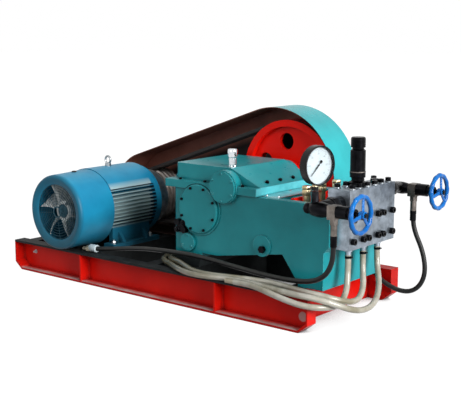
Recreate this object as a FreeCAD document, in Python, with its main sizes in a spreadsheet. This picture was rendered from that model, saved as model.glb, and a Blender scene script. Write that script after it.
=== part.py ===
import FreeCAD
import Part
import Sketcher
import math
import os
import re

# Hydrostatic test pump on a welded channel skid.
# X runs along the skid toward the fluid end, Y across it toward the belts, Z up.
# The origin is on the skid's underside, halfway along and across it. Sizes are in millimetres.

SIZES = [
    # Skid of rolled channel
    ("skid_length", 1720),
    ("skid_width", 672),
    ("rail_height", 140),
    ("rail_flange", 58),
    ("rail_web", 6),
    ("rail_lip", 9.5),
    ("end_plate", 6),
    ("bevel_run", 44),
    ("bevel_rise", 34),
    ("stiffener_from_middle", 400),
    ("stiffener", 8),
    ("end_beam_inset", 44),
    ("leg_beam_face", 745),
    # Motor, shaft along Y
    ("motor_x", -505),
    ("shaft_height", 180),
    ("frame_length", 292),
    ("core_radius", 148),
    ("fin_radius", 168),
    ("fin_thickness", 5),
    ("fin_pitch", 17),
    ("crown_radius", 180),
    ("crown_rise", 95),
    ("foot_spacing_x", 279),
    ("foot_spacing_y", 241),
    ("foot_wide", 66),
    ("foot_long", 304),
    ("foot_thick", 20),
    ("foot_wall", 24),
    ("foot_gusset", 16),
    ("foot_hole", 7.5),
    ("shield_length", 62),
    ("shield_radius", 166),
    ("shield_nose", 88),
    ("cowl_radius", 170),
    ("cowl_length", 180),
    ("cowl_sheet", 3),
    ("grille_radius", 124),
    ("grille_ring", 2.6),
    ("grille_pitch", 22),
    ("grille_hub", 26),
    ("grille_spoke", 3),
    ("eye_ring", 17),
    ("eye_bar", 5),
    ("eye_collar", 15),
    ("eye_collar_tall", 12),
    ("box_wide", 120),
    ("box_long", 170),
    ("box_proud", 62),
    ("box_lid", 12),
    ("box_edge", 6),
    ("box_above_shaft", 20),
    ("motor_shaft_radius", 24),
    ("motor_shaft_out", 150),
    ("shaft_recess", 14.5),
    ("shaft_gap", 0.3),
    ("fan_gap", 92),
    ("fan_radius", 138),
    ("fan_hub", 48),
    ("fan_width", 66),
    ("blade_thickness", 5),
    # Belt drive
    ("belt_top", 22),
    ("belt_height", 14),
    ("belt_pitch", 25.5),
    ("belt_gap", 0.3),
    ("pulley_edge", 17),
    ("pulley_clearance", 8.5),
    ("pinion_x", 352),
    ("pinion_z", 501),
    ("big_pulley_radius", 246),
    ("small_pulley_radius", 132),
    ("big_rim", 30),
    ("big_web", 16),
    ("big_hub", 62),
    ("big_hole", 37),
    ("big_hole_ring", 150),
    ("pinion_shaft_radius", 30),
    ("pinion_shaft_inside", 45),
    ("pinion_shaft_short", 4),
    # Belt guard
    ("guard_gap", 10),
    ("guard_depth", 184),
    ("guard_sheet", 3),
    ("guard_x", 288),
    ("guard_z", 479),
    ("guard_right_radius", 322),
    ("guard_left_radius", 216),
    ("bracket_wide", 50),
    ("bracket_deep", 44),
    ("seat_gap", 0.3),
    # Pump casting
    ("pump_left", 60),
    ("pump_right", 838),
    ("pump_width", 404),
    ("casting_top", 475),
    ("foot_end", 200),
    ("leg_start", 720),
    ("belly_left_x", 304),
    ("belly_left_z", 204),
    ("belly_right_x", 642),
    ("belly_right_z", 258),
    ("leg_heel", 14),
    ("flange_out", 25),
    ("flange_bottom", 290),
    ("corner_radius", 20),
    ("head_gap", 6),
    ("boss_root", 4),
    ("seat_beyond", 5),
    ("cradle_left", 590),
    ("cradle_wall", 20),
    ("cradle_width", 330),
    ("cradle_floor", 300),
    ("drain_x", 551),
    ("drain_z", 268),
    ("drain_boss", 44),
    ("drain_boss_rise", 12),
    ("drain_boss_proud", 8),
    # Crankcase cover
    ("cover_flange_left", 25),
    ("cover_flange_right", 519),
    ("cover_flange_overhang", 13),
    ("cover_flange_thick", 33),
    ("cover_gap", 1),
    ("cover_box_left", 61),
    ("cover_box_inset", 17),
    ("cover_corner", 16),
    ("cover_top_z", 578),
    ("cover_slope_start", 365),
    ("pinion_boss", 70),
    ("pinion_boss_proud", 20),
    # Round covers
    ("crank_x", 210),
    ("crank_z", 394),
    ("crank_boss", 114),
    ("crank_boss_proud", 6),
    ("crank_cover_radius", 105),
    ("crank_cover_thick", 12),
    ("crank_cover_rebate", 4),
    ("notch_gap", 3),
    ("pinion_cover_radius", 66),
    ("pinion_cover_thick", 8),
    ("pinion_seal_thick", 6),
    ("low_x", 147),
    ("low_z", 244),
    ("low_radius", 39),
    ("low_proud", 12),
    ("level_x", 111),
    ("level_z", 310),
    ("level_long", 47),
    ("level_radius", 14),
    ("level_slope", 40),
    ("plug_radius", 15),
    ("plug_proud", 16),
    ("drain_plug_proud", 14),
    ("breather_x", 346),
    ("breather_y", -150),
    ("breather_radius", 20),
    ("breather_tall", 68),
    # Cradle and fluid end
    ("splash_left", 521),
    ("splash_right", 604),
    ("splash_sheet", 3),
    ("splash_lap", 10),
    ("plunger_z", 384),
    ("plunger_pitch", 107),
    ("plunger_radius", 20),
    ("plunger_gap", 0.3),
    ("plunger_in_block", 30),
    ("gland_radius", 40),
    ("gland_long", 44),
    ("gland_barrel", 31),
    ("gland_nose", 27),
    ("gland_nose_out", 12),
    ("yoke_from_wall", 50),
    ("yoke_wide", 72),
    ("yoke_top", 92),
    ("cup_base", 17),
    ("cup_base_tall", 16),
    ("cup_radius", 15),
    ("cup_top", 139),
    ("yoke_thick", 16),
    ("crosshead_radius", 33),
    ("crosshead_long", 44),
    ("block_thick", 68),
    ("block_width", 330),
    ("block_bottom", 304),
    ("head_bottom", 463),
    ("head_top", 537),
    ("head_back", 831),
    ("bore_beyond", 1),
    ("stub_x", 890),
    ("stub_collar", 17),
    ("stub_collar_tall", 14),
    ("stub_radius", 12),
    ("stub_drop", 28),
    ("relief_inset", 50),
    ("relief_y", -36),
    ("relief_base", 35),
    ("relief_base_tall", 16),
    ("relief_neck", 25),
    ("relief_neck_top", 44),
    ("relief_collar", 31),
    ("relief_collar_tall", 12),
    ("relief_barrel", 30),
    ("relief_barrel_top", 146),
    ("relief_edge", 2),
    ("relief_seat", 23),
    ("relief_tall", 152),
    ("relief_cap", 28.5),
    ("relief_cap_tall", 40),
    # Side valves
    ("left_valve_y", -290),
    ("left_valve_z", 478),
    ("right_valve_y", 300),
    ("right_valve_z", 490),
    ("bar_start", 835),
    ("bar_end", 925),
    ("bar_side", 50),
    ("bar_plug_radius", 16),
    ("bar_plug_long", 22),
    ("pipe_x", 888),
    ("pipe_radius", 24),
    ("pipe_collar", 33),
    ("pipe_collar_long", 36),
    ("outlet_long", 35),
    ("outlet_side", 46),
    ("outlet_drop", 12),
    ("nipple_radius", 13),
    ("nipple_nut", 17),
    ("nipple_nut_tall", 22),
    ("weld_sink", 1),
    ("left_hose_top", 384),
    ("right_hose_top", 398),
    ("valve_radius", 25),
    ("valve_long", 46),
    ("bonnet_radius", 19),
    ("bonnet_long", 30),
    ("spindle_radius", 9),
    ("spindle_gap", 0.3),
    ("spindle_in_bonnet", 20),
    ("wheel_radius", 77),
    ("wheel_rim", 9),
    ("wheel_centre", 1058),
    ("wheel_dish", 8),
    ("wheel_hub", 15),
    ("wheel_hub_long", 24),
    ("spindle_beyond", 4),
    ("wheel_spoke", 13),
    ("wheel_spoke_thick", 7),
    # Pressure gauge
    ("gauge_x", 855),
    ("gauge_z", 643),
    ("gauge_radius", 74),
    ("gauge_forward", 8),
    ("gauge_deep", 38),
    ("gauge_turn", 11),
    ("gauge_rim", 4.5),
    ("gauge_edge", 4),
    ("glass_inset", 1),
    ("gauge_recess", 14),
    ("dial_thick", 1.5),
    ("dial_gap", 0.3),
    ("needle_above", 3),
    ("needle_thick", 1.2),
    ("needle_long", 52),
    ("needle_tail", 16),
    ("needle_wide", 6),
    ("needle_hub", 5),
    ("glass_thick", 2),
    ("gauge_stem", 10),
    ("gauge_square", 30),
    ("gauge_square_tall", 46),
    # Hoses
    ("suction_hose", 24),
    ("pressure_hose", 20),
    ("tail_radius", 10),
    ("tail_long", 42),
    ("ferrule_radius", 13),
    ("ferrule_long", 30),
    ("swivel_nut", 15),
    ("swivel_nut_long", 24),
    ("swivel_tail", 9),
    ("swivel_tail_long", 24),
]

# Sizes that follow from the ones above
PULLEY_WIDTH = "(2 * pulley_edge + 3 * belt_pitch)"
DERIVED = [
    ("block_start", "pump_right + flange_out"),
    (
        "pulley_front",
        "pump_width / 2 + pinion_boss_proud + pinion_seal_thick + pulley_clearance - pulley_edge / 2",
    ),
    ("guard_front", "pump_width / 2 + guard_gap"),
    (
        "frame_front",
        f"pulley_front + {PULLEY_WIDTH} - shaft_recess - motor_shaft_out - shield_length - frame_length",
    ),
    ("cover_flange_width", "pump_width + 2 * cover_flange_overhang"),
    ("cover_box_width", "pump_width - 2 * cover_box_inset"),
]

# Hose routes, each point in millimetres from the fitting to the free end
ROUTES = {
    "suction_hose_left": [
        (890, -107, 276), (890, -107, 231), (895, -116, 185), (905, -137, 145), (914, -171, 118),
        (922, -215, 105), (928, -262, 107), (919, -307, 112), (889, -342, 115), (848, -361, 120),
        (799, -365, 127), (750, -363, 134), (701, -360, 142), (652, -353, 149), (602, -345, 153),
        (556, -342, 153), (512, -343, 153),
    ],
    "suction_hose_middle": [
        (890, 0, 276), (890, 0, 229), (900, -12, 182), (921, -41, 144), (938, -84, 120),
        (950, -130, 110), (955, -178, 113), (949, -224, 125), (926, -265, 139), (888, -291, 151),
        (838, -298, 154), (782, -289, 153), (724, -275, 153), (661, -265, 153), (598, -264, 153),
        (536, -273, 153), (478, -287, 153), (424, -301, 153), (368, -314, 153), (311, -317, 153),
        (254, -306, 154), (197, -281, 157), (143, -254, 161), (92, -236, 162), (48, -214, 160),
        (20, -177, 156), (12, -133, 154),
    ],
    "suction_hose_right": [
        (890, 107, 276), (890, 107, 229), (904, 92, 183), (933, 58, 143), (960, 6, 110), (981, -54, 89),
        (993, -117, 82), (993, -180, 86), (981, -237, 102), (959, -284, 124), (926, -322, 142),
        (880, -343, 151), (830, -346, 152), (776, -342, 152), (720, -337, 153), (664, -329, 153),
        (606, -319, 153), (550, -314, 153), (494, -314, 153), (438, -324, 153), (384, -339, 153),
        (327, -350, 153), (266, -348, 153), (206, -328, 153), (150, -300, 153), (98, -272, 153),
        (48, -247, 153), (8, -216, 153), (-14, -172, 153), (-18, -126, 153),
    ],
    "left_pressure_hose": [
        (942.5, -290, 384), (942.5, -290, 335), (937, -289, 286), (915, -285, 241), (876, -279, 209),
        (826, -272, 191), (768, -264, 181), (704, -257, 176), (634, -252, 175), (560, -248, 177),
        (482, -244, 181), (402, -241, 186), (322, -238, 192), (242, -236, 196), (166, -233, 197),
        (98, -229, 194), (38, -227, 191), (-16, -232, 190), (-68, -243, 189), (-120, -256, 186),
        (-175, -268, 180), (-231, -279, 173), (-286, -288, 166), (-338, -291, 160.5),
    ],
    "right_pressure_hose": [
        (942.5, 300, 398), (942.5, 300, 352), (957, 300, 304), (984, 299, 254), (1001, 298, 206),
        (1009, 295, 158), (1003, 292, 116), (982, 287, 80), (948, 281, 59), (907, 272, 58),
        (868, 264, 71), (829, 257, 91), (792, 251, 126), (760, 247, 149), (722, 245, 154),
    ],
}

NAMES = {name for name, _ in SIZES + DERIVED}
V = FreeCAD.Vector
START = 10
GROOVES = 4
WHEEL_SPOKES = 3
FAN_BLADES = 6
ARC_SHARE = 0.45

doc = FreeCAD.newDocument("HydrostaticTestPump")
sheet = doc.addObject("Spreadsheet::Sheet", "Sizes")
for row, (name, number) in enumerate(SIZES, start=1):
    sheet.set(f"A{row}", name)
    sheet.set(f"B{row}", str(number))
    sheet.setAlias(f"B{row}", name)
doc.recompute()
for row, (name, text) in enumerate(DERIVED, start=len(SIZES) + 1):
    sheet.set(f"A{row}", name)
    sheet.set(f"B{row}", "=" + text)
    sheet.setAlias(f"B{row}", name)
    doc.recompute()

ROOT = []


def size(name):
    """The sheet's value for one named size."""
    return float(sheet.get(name))


def linked(text):
    """An expression in plain size names, written for the sheet's aliases."""
    return re.sub(
        r"[a-z_][a-z_0-9]*", lambda m: "Sizes." + m.group(0) if m.group(0) in NAMES else m.group(0), text,
    )


def bind(thing, **sizes):
    """Tie properties to expressions; a double underscore stands for a dot."""
    for prop, text in sizes.items():
        thing.setExpression(prop.replace("__", "."), linked(str(text)))


TURNS = {
    "+Z": FreeCAD.Rotation(),
    "-Z": FreeCAD.Rotation(V(1, 0, 0), 180),
    "+X": FreeCAD.Rotation(V(0, 1, 0), 90),
    "-X": FreeCAD.Rotation(V(0, 1, 0), -90),
    "+Y": FreeCAD.Rotation(V(1, 0, 0), -90),
    "-Y": FreeCAD.Rotation(V(1, 0, 0), 90),
}


def place(thing, at, along="+Z"):
    """Put a piece's own origin at a point, with its own Z along a row axis or turned by a rotation."""
    turn = TURNS[along] if isinstance(along, str) else along
    thing.Placement = FreeCAD.Placement(V(0, 0, 0), turn)
    bind(thing, Placement__Base__x=at[0], Placement__Base__y=at[1], Placement__Base__z=at[2])
    return thing


def block(label, corner, sides):
    """A plain block from its low corner and its three sides."""
    made = doc.addObject("Part::Box", label)
    bind(made, Length=sides[0], Width=sides[1], Height=sides[2])
    return place(made, corner)


def rod(label, radius, length, at, along="+Z"):
    """A cylinder whose foot is at a point."""
    made = doc.addObject("Part::Cylinder", label)
    bind(made, Radius=radius, Height=length)
    return place(made, at, along)


def hexagon(label, radius, length, at, along="+Z"):
    """A six-sided bar of the given corner radius."""
    made = doc.addObject("Part::Prism", label)
    made.Polygon = 6
    bind(made, Circumradius=radius, Height=length)
    return place(made, at, along)


def joined(label, pieces):
    """Several shapes fused into one."""
    made = doc.addObject("Part::MultiFuse", label)
    made.Shapes = pieces
    made.Refine = True
    return made


def cut(label, base, tool):
    """One shape less another."""
    made = doc.addObject("Part::Cut", label)
    made.Base = base
    made.Tool = tool
    made.Refine = True
    return made


def together(label, pieces):
    """Like pieces that share a node without touching."""
    made = doc.addObject("Part::Compound", label)
    made.Links = pieces
    return made


def new_body(label):
    return doc.addObject("PartDesign::Body", label)


def origin_plane(body, role):
    return [item for item in body.Origin.OriginFeatures if item.Role == role][0]


def sketch_on(body, role, label, offset="0"):
    """An empty sketch on one of the body's own planes, moved along its normal."""
    sketch = body.newObject("Sketcher::SketchObject", label)
    sketch.AttachmentSupport = [(origin_plane(body, role), "")]
    sketch.MapMode = "FlatFace"
    bind(sketch, AttachmentOffset__Base__z=offset)
    return sketch


def fix(sketch, kind, reference, number, text):
    """One driving dimension, tied to the sheet."""
    index = sketch.addConstraint(Sketcher.Constraint(kind, *reference, number))
    sketch.setExpression(f"Constraints[{index}]", linked(text))


def outline(sketch, corners):
    """A closed run of straight edges with every corner dimensioned from the origin."""
    first = sketch.GeometryCount
    count = len(corners)
    angles = [2 * math.pi * k / count for k in range(count)]
    start = [V(START * math.cos(angle), START * math.sin(angle), 0) for angle in angles]
    for k in range(count):
        sketch.addGeometry(Part.LineSegment(start[k], start[(k + 1) % count]), False)
    for k in range(count):
        sketch.addConstraint(Sketcher.Constraint("Coincident", first + k, 2, first + (k + 1) % count, 1))
    for k, (across, up) in enumerate(corners):
        fix(sketch, "DistanceX", (-1, 1, first + k, 1), start[k].x, across)
        fix(sketch, "DistanceY", (-1, 1, first + k, 1), start[k].y, up)


def circle(sketch, across, up, radius):
    """A circle with its centre and radius dimensioned."""
    index = sketch.addGeometry(Part.Circle(V(START, START, 0), V(0, 0, 1), START), False)
    fix(sketch, "Radius", (index,), START, radius)
    fix(sketch, "DistanceX", (-1, 1, index, 3), START, across)
    fix(sketch, "DistanceY", (-1, 1, index, 3), START, up)


def pad(body, sketch, length, reversed_=False, midplane=False):
    doc.recompute()
    made = body.newObject("PartDesign::Pad", sketch.Name + "Pad")
    made.Profile = sketch
    made.Type = "Length"
    made.Reversed = reversed_
    made.Midplane = midplane
    bind(made, Length=length)
    sketch.Visibility = False
    doc.recompute()
    return made


def pocket(body, sketch, length=None, reversed_=False):
    """A cut to a depth, or through everything both ways when no depth is given."""
    doc.recompute()
    made = body.newObject("PartDesign::Pocket", sketch.Name + "Pocket")
    made.Profile = sketch
    if length is None:
        made.Type = "ThroughAll"
        made.Midplane = True
    else:
        made.Type = "Length"
        made.Reversed = reversed_
        bind(made, Length=length)
    before = body.Shape.Volume
    doc.recompute()
    if body.Shape.Volume >= before:
        raise RuntimeError(f"{sketch.Name} cuts nothing")
    return made


def turned(label, profile, at=("0", "0", "0"), along="+Z"):
    """A piece turned about its own Z from (radius, height) corners."""
    body = new_body(label)
    sketch = sketch_on(body, "XZ_Plane", label + "Profile")
    outline(sketch, profile)
    doc.recompute()
    spun = body.newObject("PartDesign::Revolution", label + "Turn")
    spun.Profile = sketch
    spun.ReferenceAxis = (sketch, ["V_Axis"])
    spun.Angle = 360
    doc.recompute()
    return place(body, at, along)


def around(body, feature, count):
    """Repeat a cut or pad evenly about the body's own Z."""
    pattern = body.newObject("PartDesign::PolarPattern", feature.Name + "Ring")
    pattern.Originals = [feature]
    pattern.Axis = (feature.Profile[0], ["N_Axis"])
    pattern.Angle = 360
    bind(pattern, Occurrences=count)
    body.Tip = pattern
    doc.recompute()
    return pattern


def rounded(body, feature, radius, chosen):
    """Round the upright edges of a pad whose middles pass a test."""
    names = []
    for number, edge in enumerate(feature.Shape.Edges, start=1):
        one, two = edge.Vertexes[0].Point, edge.Vertexes[-1].Point
        if math.hypot(one.x - two.x, one.y - two.y) < 0.01 and chosen((one + two) * 0.5):
            names.append(f"Edge{number}")
    made = body.newObject("PartDesign::Fillet", feature.Name + "Round")
    made.Base = (feature, names)
    bind(made, Radius=radius)
    doc.recompute()
    return made


def free_shape(label, shape, across="0"):
    """A piece whose form comes from a formula, moved along Y to its place."""
    made = doc.addObject("Part::Feature", label)
    made.Shape = shape
    return place(made, ("0", across, "0"))


def node(made, label=None):
    """Mark a finished piece as a sub-part of its own."""
    if label:
        made.Label = label
    ROOT.append(made)
    return made


# Skid

def rail(label, side):
    """A channel with its open side outward, closed at both bevelled ends, with two stiffeners."""
    body = new_body(label)
    outer = "skid_width / 2" if side < 0 else "-skid_width / 2"
    side_view = sketch_on(body, "XZ_Plane", label + "Side", outer)
    end = "skid_length / 2"
    outline(side_view, [
        (f"-{end} + bevel_run", "0"), (f"{end} - bevel_run", "0"), (end, "bevel_rise"),
        (end, "rail_height"),
        (f"-{end}", "rail_height"), (f"-{end}", "bevel_rise"),
    ])
    pad(body, side_view, "rail_flange", reversed_=side < 0)
    hollow = sketch_on(body, "XZ_Plane", label + "Hollow", outer)
    rib = "stiffener_from_middle"
    low, high = "rail_lip", "rail_height - rail_lip"
    outline(hollow, [
        (f"-{rib} + stiffener / 2", low), (f"{rib} - stiffener / 2", low),
        (f"{rib} - stiffener / 2", high), (f"-{rib} + stiffener / 2", high),
    ])
    for way in ("-", ""):
        outline(hollow, [
            (f"{way}({rib} + stiffener / 2)", low), (f"{way}({end} - bevel_run - end_plate / 3)", low),
            (f"{way}({end} - end_plate)", "bevel_rise + rail_lip"), (f"{way}({end} - end_plate)", high),
            (f"{way}({rib} + stiffener / 2)", high),
        ])
    pocket(body, hollow, "rail_flange - rail_web", reversed_=side > 0)
    return node(body)


def beam(label, centre, opening=1):
    """A channel across the skid between the rail webs, open toward +X or -X."""
    body = new_body(label)
    section = sketch_on(body, "XZ_Plane", label + "Section", "skid_width / 2 - rail_flange")
    back = f"{centre} - {opening} * rail_flange / 2"
    inner = f"{back} + {opening} * rail_web"
    front = f"{centre} + {opening} * rail_flange / 2"
    outline(section, [
        (back, "0"), (front, "0"), (front, "rail_lip"), (inner, "rail_lip"),
        (inner, "rail_height - rail_lip"), (front, "rail_height - rail_lip"), (front, "rail_height"),
        (back, "rail_height"),
    ])
    pad(body, section, "skid_width - 2 * rail_flange", reversed_=True)
    return node(body)


def skid():
    rail("near_rail", -1)
    rail("far_rail", 1)
    beam("left_end_beam", "(-skid_length / 2 + end_beam_inset + rail_flange / 2)")
    beam("motor_beam_left", "(motor_x - foot_spacing_x / 2)")
    beam("motor_beam_right", "(motor_x + foot_spacing_x / 2)", -1)
    beam("middle_beam", "0")
    beam("pump_beam_left", "(foot_end - rail_flange / 2)", -1)
    beam("pump_beam_right", "(leg_beam_face - rail_flange / 2)", -1)


# Motor

MOTOR_Z = "(rail_height + shaft_height)"


def motor_frame():
    """Finned stator housing: a core, level fins along both sides, a smooth crown and two feet."""
    core = rod("FrameCore", "core_radius", "frame_length", ("motor_x", "frame_front", MOTOR_Z), "+Y")
    crown_round = rod(
        "CrownRound", "crown_radius", "frame_length", ("motor_x", "frame_front", MOTOR_Z), "+Y",
    )
    crown_keep = block(
        "CrownKeep", ("motor_x - crown_radius", "frame_front", f"{MOTOR_Z} + crown_rise"),
        ("2 * crown_radius", "frame_length", "crown_radius"),
    )
    crown = doc.addObject("Part::Common", "Crown")
    crown.Base = crown_round
    crown.Tool = crown_keep
    pieces = [core, crown]
    for step in range(-5, 6):
        level = f"({step} * fin_pitch - fin_thickness / 2)"
        edge = f"({abs(step)} * fin_pitch + fin_thickness / 2)"
        reach = f"sqrt(fin_radius * fin_radius - {edge} * {edge})"
        fin = block(
            f"Fin{step + 5}", (f"motor_x - {reach}", "frame_front", f"{MOTOR_Z} + {level}"),
            (f"2 * {reach}", "frame_length", "fin_thickness"),
        )
        pieces.append(fin)
    middle = "(frame_front + frame_length / 2)"
    for way in (-1, 1):
        across = f"(motor_x + {way} * foot_spacing_x / 2)"
        pieces.append(block(
            f"Foot{way + 1}", (f"{across} - foot_wide / 2", f"{middle} - foot_long / 2", "rail_height"),
            ("foot_wide", "foot_long", "foot_thick"),
        ))
        wall = f"({across} - {way} * foot_wide / 4)"
        pieces.append(block(
            f"FootWall{way + 1}",
            (f"{wall} - foot_wall / 2", "frame_front + foot_wall", "rail_height + foot_thick / 2"),
            ("foot_wall", "frame_length - 2 * foot_wall", "shaft_height - core_radius * 0.6"),
        ))
        for end in (-1, 1):
            gusset = new_body(f"Gusset{way + 1}{end + 1}")
            section = sketch_on(
                gusset, "XZ_Plane", f"GussetSide{way + 1}{end + 1}", f"-({middle} + {end} * foot_long / 4)",
            )
            outline(section, [
                (f"{across} + {way} * foot_wide * 0.45", "rail_height + foot_thick / 2"),
                (f"{across} + {way} * foot_wide * 0.45", "rail_height + foot_thick * 1.2"),
                (f"{wall} + {way} * foot_wall / 3", "rail_height + foot_thick * 3.6"),
                (f"{wall} + {way} * foot_wall / 3", "rail_height + foot_thick / 2"),
            ])
            pad(gusset, section, "foot_gusset", midplane=True)
            pieces.append(gusset)
    body = joined("FrameSolid", pieces)
    holes = []
    for way in (-1, 1):
        for end in (-1, 1):
            holes.append(rod(
                f"FootHole{way + 1}{end + 1}", "foot_hole", "3 * foot_thick",
                (
                    f"motor_x + {way} * foot_spacing_x / 2", f"{middle} + {end} * foot_spacing_y / 2",
                    "rail_height - foot_thick",
                ),
            ))
    holes.append(rod(
        "FrameBore", "motor_shaft_radius + shaft_gap", "frame_length + 2 * foot_thick",
        ("motor_x", "frame_front - foot_thick", MOTOR_Z), "+Y",
    ))
    return node(cut("motor_frame", body, joined("FootHoles", holes)))


def motor_shield():
    """Drive-end shield with a stepped nose round the shaft."""
    bore = "motor_shaft_radius + shaft_gap"
    return node(turned("motor_end_shield", [
        (bore, "0"), ("shield_radius", "0"), ("shield_radius", "shield_length * 0.55"),
        ("shield_nose", "shield_length * 0.8"),
        ("shield_nose", "shield_length"), (bore, "shield_length"),
    ], ("motor_x", "frame_front + frame_length", MOTOR_Z), "+Y"))


def fan_cover():
    """Cowl over the fan: a thin shell with a round opening filled by rings and spokes."""
    shell = turned("CowlShell", [
        ("cowl_radius - cowl_sheet", "0"), ("cowl_radius", "0"),
        ("cowl_radius", "cowl_length - cowl_sheet * 4"),
        ("cowl_radius - cowl_sheet * 4", "cowl_length"), ("grille_radius", "cowl_length"),
        ("grille_radius", "cowl_length - cowl_sheet"),
        ("cowl_radius - cowl_sheet * 5", "cowl_length - cowl_sheet"),
        ("cowl_radius - cowl_sheet", "cowl_length - cowl_sheet * 5"),
    ], ("motor_x", "frame_front", MOTOR_Z), "-Y")
    pieces = [shell]
    for ring in range(4):
        middle = f"(grille_hub + grille_pitch * {ring + 1})"
        pieces.append(turned(f"GrilleRing{ring}", [
            (f"{middle} - grille_ring / 2", "cowl_length - cowl_sheet"),
            (f"{middle} + grille_ring / 2", "cowl_length - cowl_sheet"),
            (f"{middle} + grille_ring / 2", "cowl_length"), (f"{middle} - grille_ring / 2", "cowl_length"),
        ], ("motor_x", "frame_front", MOTOR_Z), "-Y"))
    hub_start = ("motor_x", "frame_front - cowl_length", MOTOR_Z)
    pieces.append(rod("GrilleHub", "grille_hub", "cowl_sheet", hub_start, "+Y"))
    for spoke in range(4):
        bar = block(
            f"GrilleSpoke{spoke}", ("0", "0", "0"),
            ("2 * grille_radius + cowl_sheet * 2", "cowl_sheet", "grille_spoke"),
        )
        turn = FreeCAD.Rotation(V(0, 1, 0), 45 * spoke + 22.5)
        bar.Placement = FreeCAD.Placement(V(0, 0, 0), turn)
        away = turn.multVec(V(1, 0, 0))
        lift = turn.multVec(V(0, 0, 1))
        half = "(grille_radius + cowl_sheet)"
        bind(
            bar,
            Placement__Base__x=f"motor_x - ({away.x:.9f}) * {half} - ({lift.x:.9f}) * grille_spoke / 2",
            Placement__Base__y="frame_front - cowl_length",
            Placement__Base__z=f"{MOTOR_Z} - ({away.z:.9f}) * {half} - ({lift.z:.9f}) * grille_spoke / 2",
        )
        pieces.append(bar)
    return node(joined("motor_fan_cover", pieces))


def lifting_eye():
    top = f"{MOTOR_Z} + crown_radius"
    at = ("motor_x", "frame_front + frame_length * 0.45")
    collar = rod("EyeCollar", "eye_collar", "eye_collar_tall + eye_bar", (*at, f"{top} - eye_bar"))
    ring = doc.addObject("Part::Torus", "EyeRing")
    bind(ring, Radius1="eye_ring", Radius2="eye_bar")
    place(ring, (*at, f"{top} + eye_collar_tall + eye_ring"), "+Y")
    seat = rod(
        "EyeSeat", "crown_radius", "4 * eye_collar",
        ("motor_x", "frame_front + frame_length * 0.45 - 2 * eye_collar", MOTOR_Z), "+Y",
    )
    return node(cut("lifting_eye", joined("EyeSolid", [collar, ring]), seat))


def terminal_box():
    """Box on the motor's far flank, seated on the fins' outer line."""
    left = "motor_x - fin_radius - box_proud"
    y = "frame_front + frame_length * 0.4"
    low = f"{MOTOR_Z} - box_wide / 2 + box_above_shaft"
    case = block(
        "BoxCase", (left, y, low), ("box_proud + fin_radius - core_radius", "box_long", "box_wide"),
    )
    lid = block(
        "BoxLid", (f"{left} - box_lid", f"{y} - box_edge", f"{low} - box_edge"),
        ("box_lid", "box_long + 2 * box_edge", "box_wide + 2 * box_edge"),
    )
    return node(cut("terminal_box", joined("BoxSolid", [case, lid]), frame_copy("BoxSeat")))


def frame_copy(label):
    """The fin envelope, used to seat what stands on the frame."""
    return rod(label, "fin_radius", "frame_length", ("motor_x", "frame_front", MOTOR_Z), "+Y")


def motor_shaft():
    """One shaft from the fan to the pulley's outer face."""
    start = "frame_front - fan_gap - fan_width"
    length = "fan_gap + fan_width + frame_length + shield_length + motor_shaft_out"
    inside = rod("ShaftRod", "motor_shaft_radius", length, ("motor_x", start, MOTOR_Z), "+Y")
    return inside


# Belt drive

def groove_profile(radius, start, inner):
    """Rim corners from the near face to the far face, with one V for each belt."""
    corners = [(inner, start), (radius, start)]
    for groove in range(GROOVES):
        middle = f"({start} + pulley_edge + {groove} * belt_pitch)"
        mouth = "(belt_top / 2 + belt_gap)"
        floor = "(belt_top / 2 - belt_height * 0.36 + belt_gap)"
        corners += [
            (radius, f"{middle} - {mouth}"),
            (f"{radius} - belt_height - 2 * belt_gap", f"{middle} - {floor}"),
            (f"{radius} - belt_height - 2 * belt_gap", f"{middle} + {floor}"),
            (radius, f"{middle} + {mouth}"),
        ]
    corners += [(radius, f"{start} + {PULLEY_WIDTH}"), (inner, f"{start} + {PULLEY_WIDTH}")]
    return corners


def drive_pulley():
    """Large grooved pulley: rim, dished web with a ring of round holes, and hub."""
    rim = groove_profile("big_pulley_radius", "0", "(big_pulley_radius - big_rim)")
    web_front = "(pulley_edge * 1.6)"
    web_back = f"({web_front} + big_web)"
    profile = rim + [
        ("big_pulley_radius - big_rim", web_back), ("big_hub", f"{web_back} + big_web / 4"),
        ("big_hub", f"{PULLEY_WIDTH} - pulley_edge / 2"),
        ("pinion_shaft_radius", f"{PULLEY_WIDTH} - pulley_edge / 2"),
        ("pinion_shaft_radius", "pulley_edge / 2"), ("big_hub", "pulley_edge / 2"),
        ("big_hub", f"{web_front} - big_web / 4"),
        ("big_pulley_radius - big_rim", web_front),
    ]
    body = turned("drive_pulley", profile, ("pinion_x", "pulley_front", "pinion_z"), "+Y")
    holes = sketch_on(body, "XY_Plane", "PulleyHole")
    circle(holes, "big_hole_ring * cos(80 deg)", "big_hole_ring * sin(80 deg)", "big_hole")
    around(body, pocket(body, holes), "6")
    return node(body)


def motor_pulley():
    rim = groove_profile("small_pulley_radius", "0", "motor_shaft_radius")
    return node(turned("motor_pulley", rim, ("motor_x", "pulley_front", MOTOR_Z), "+Y"))


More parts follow.
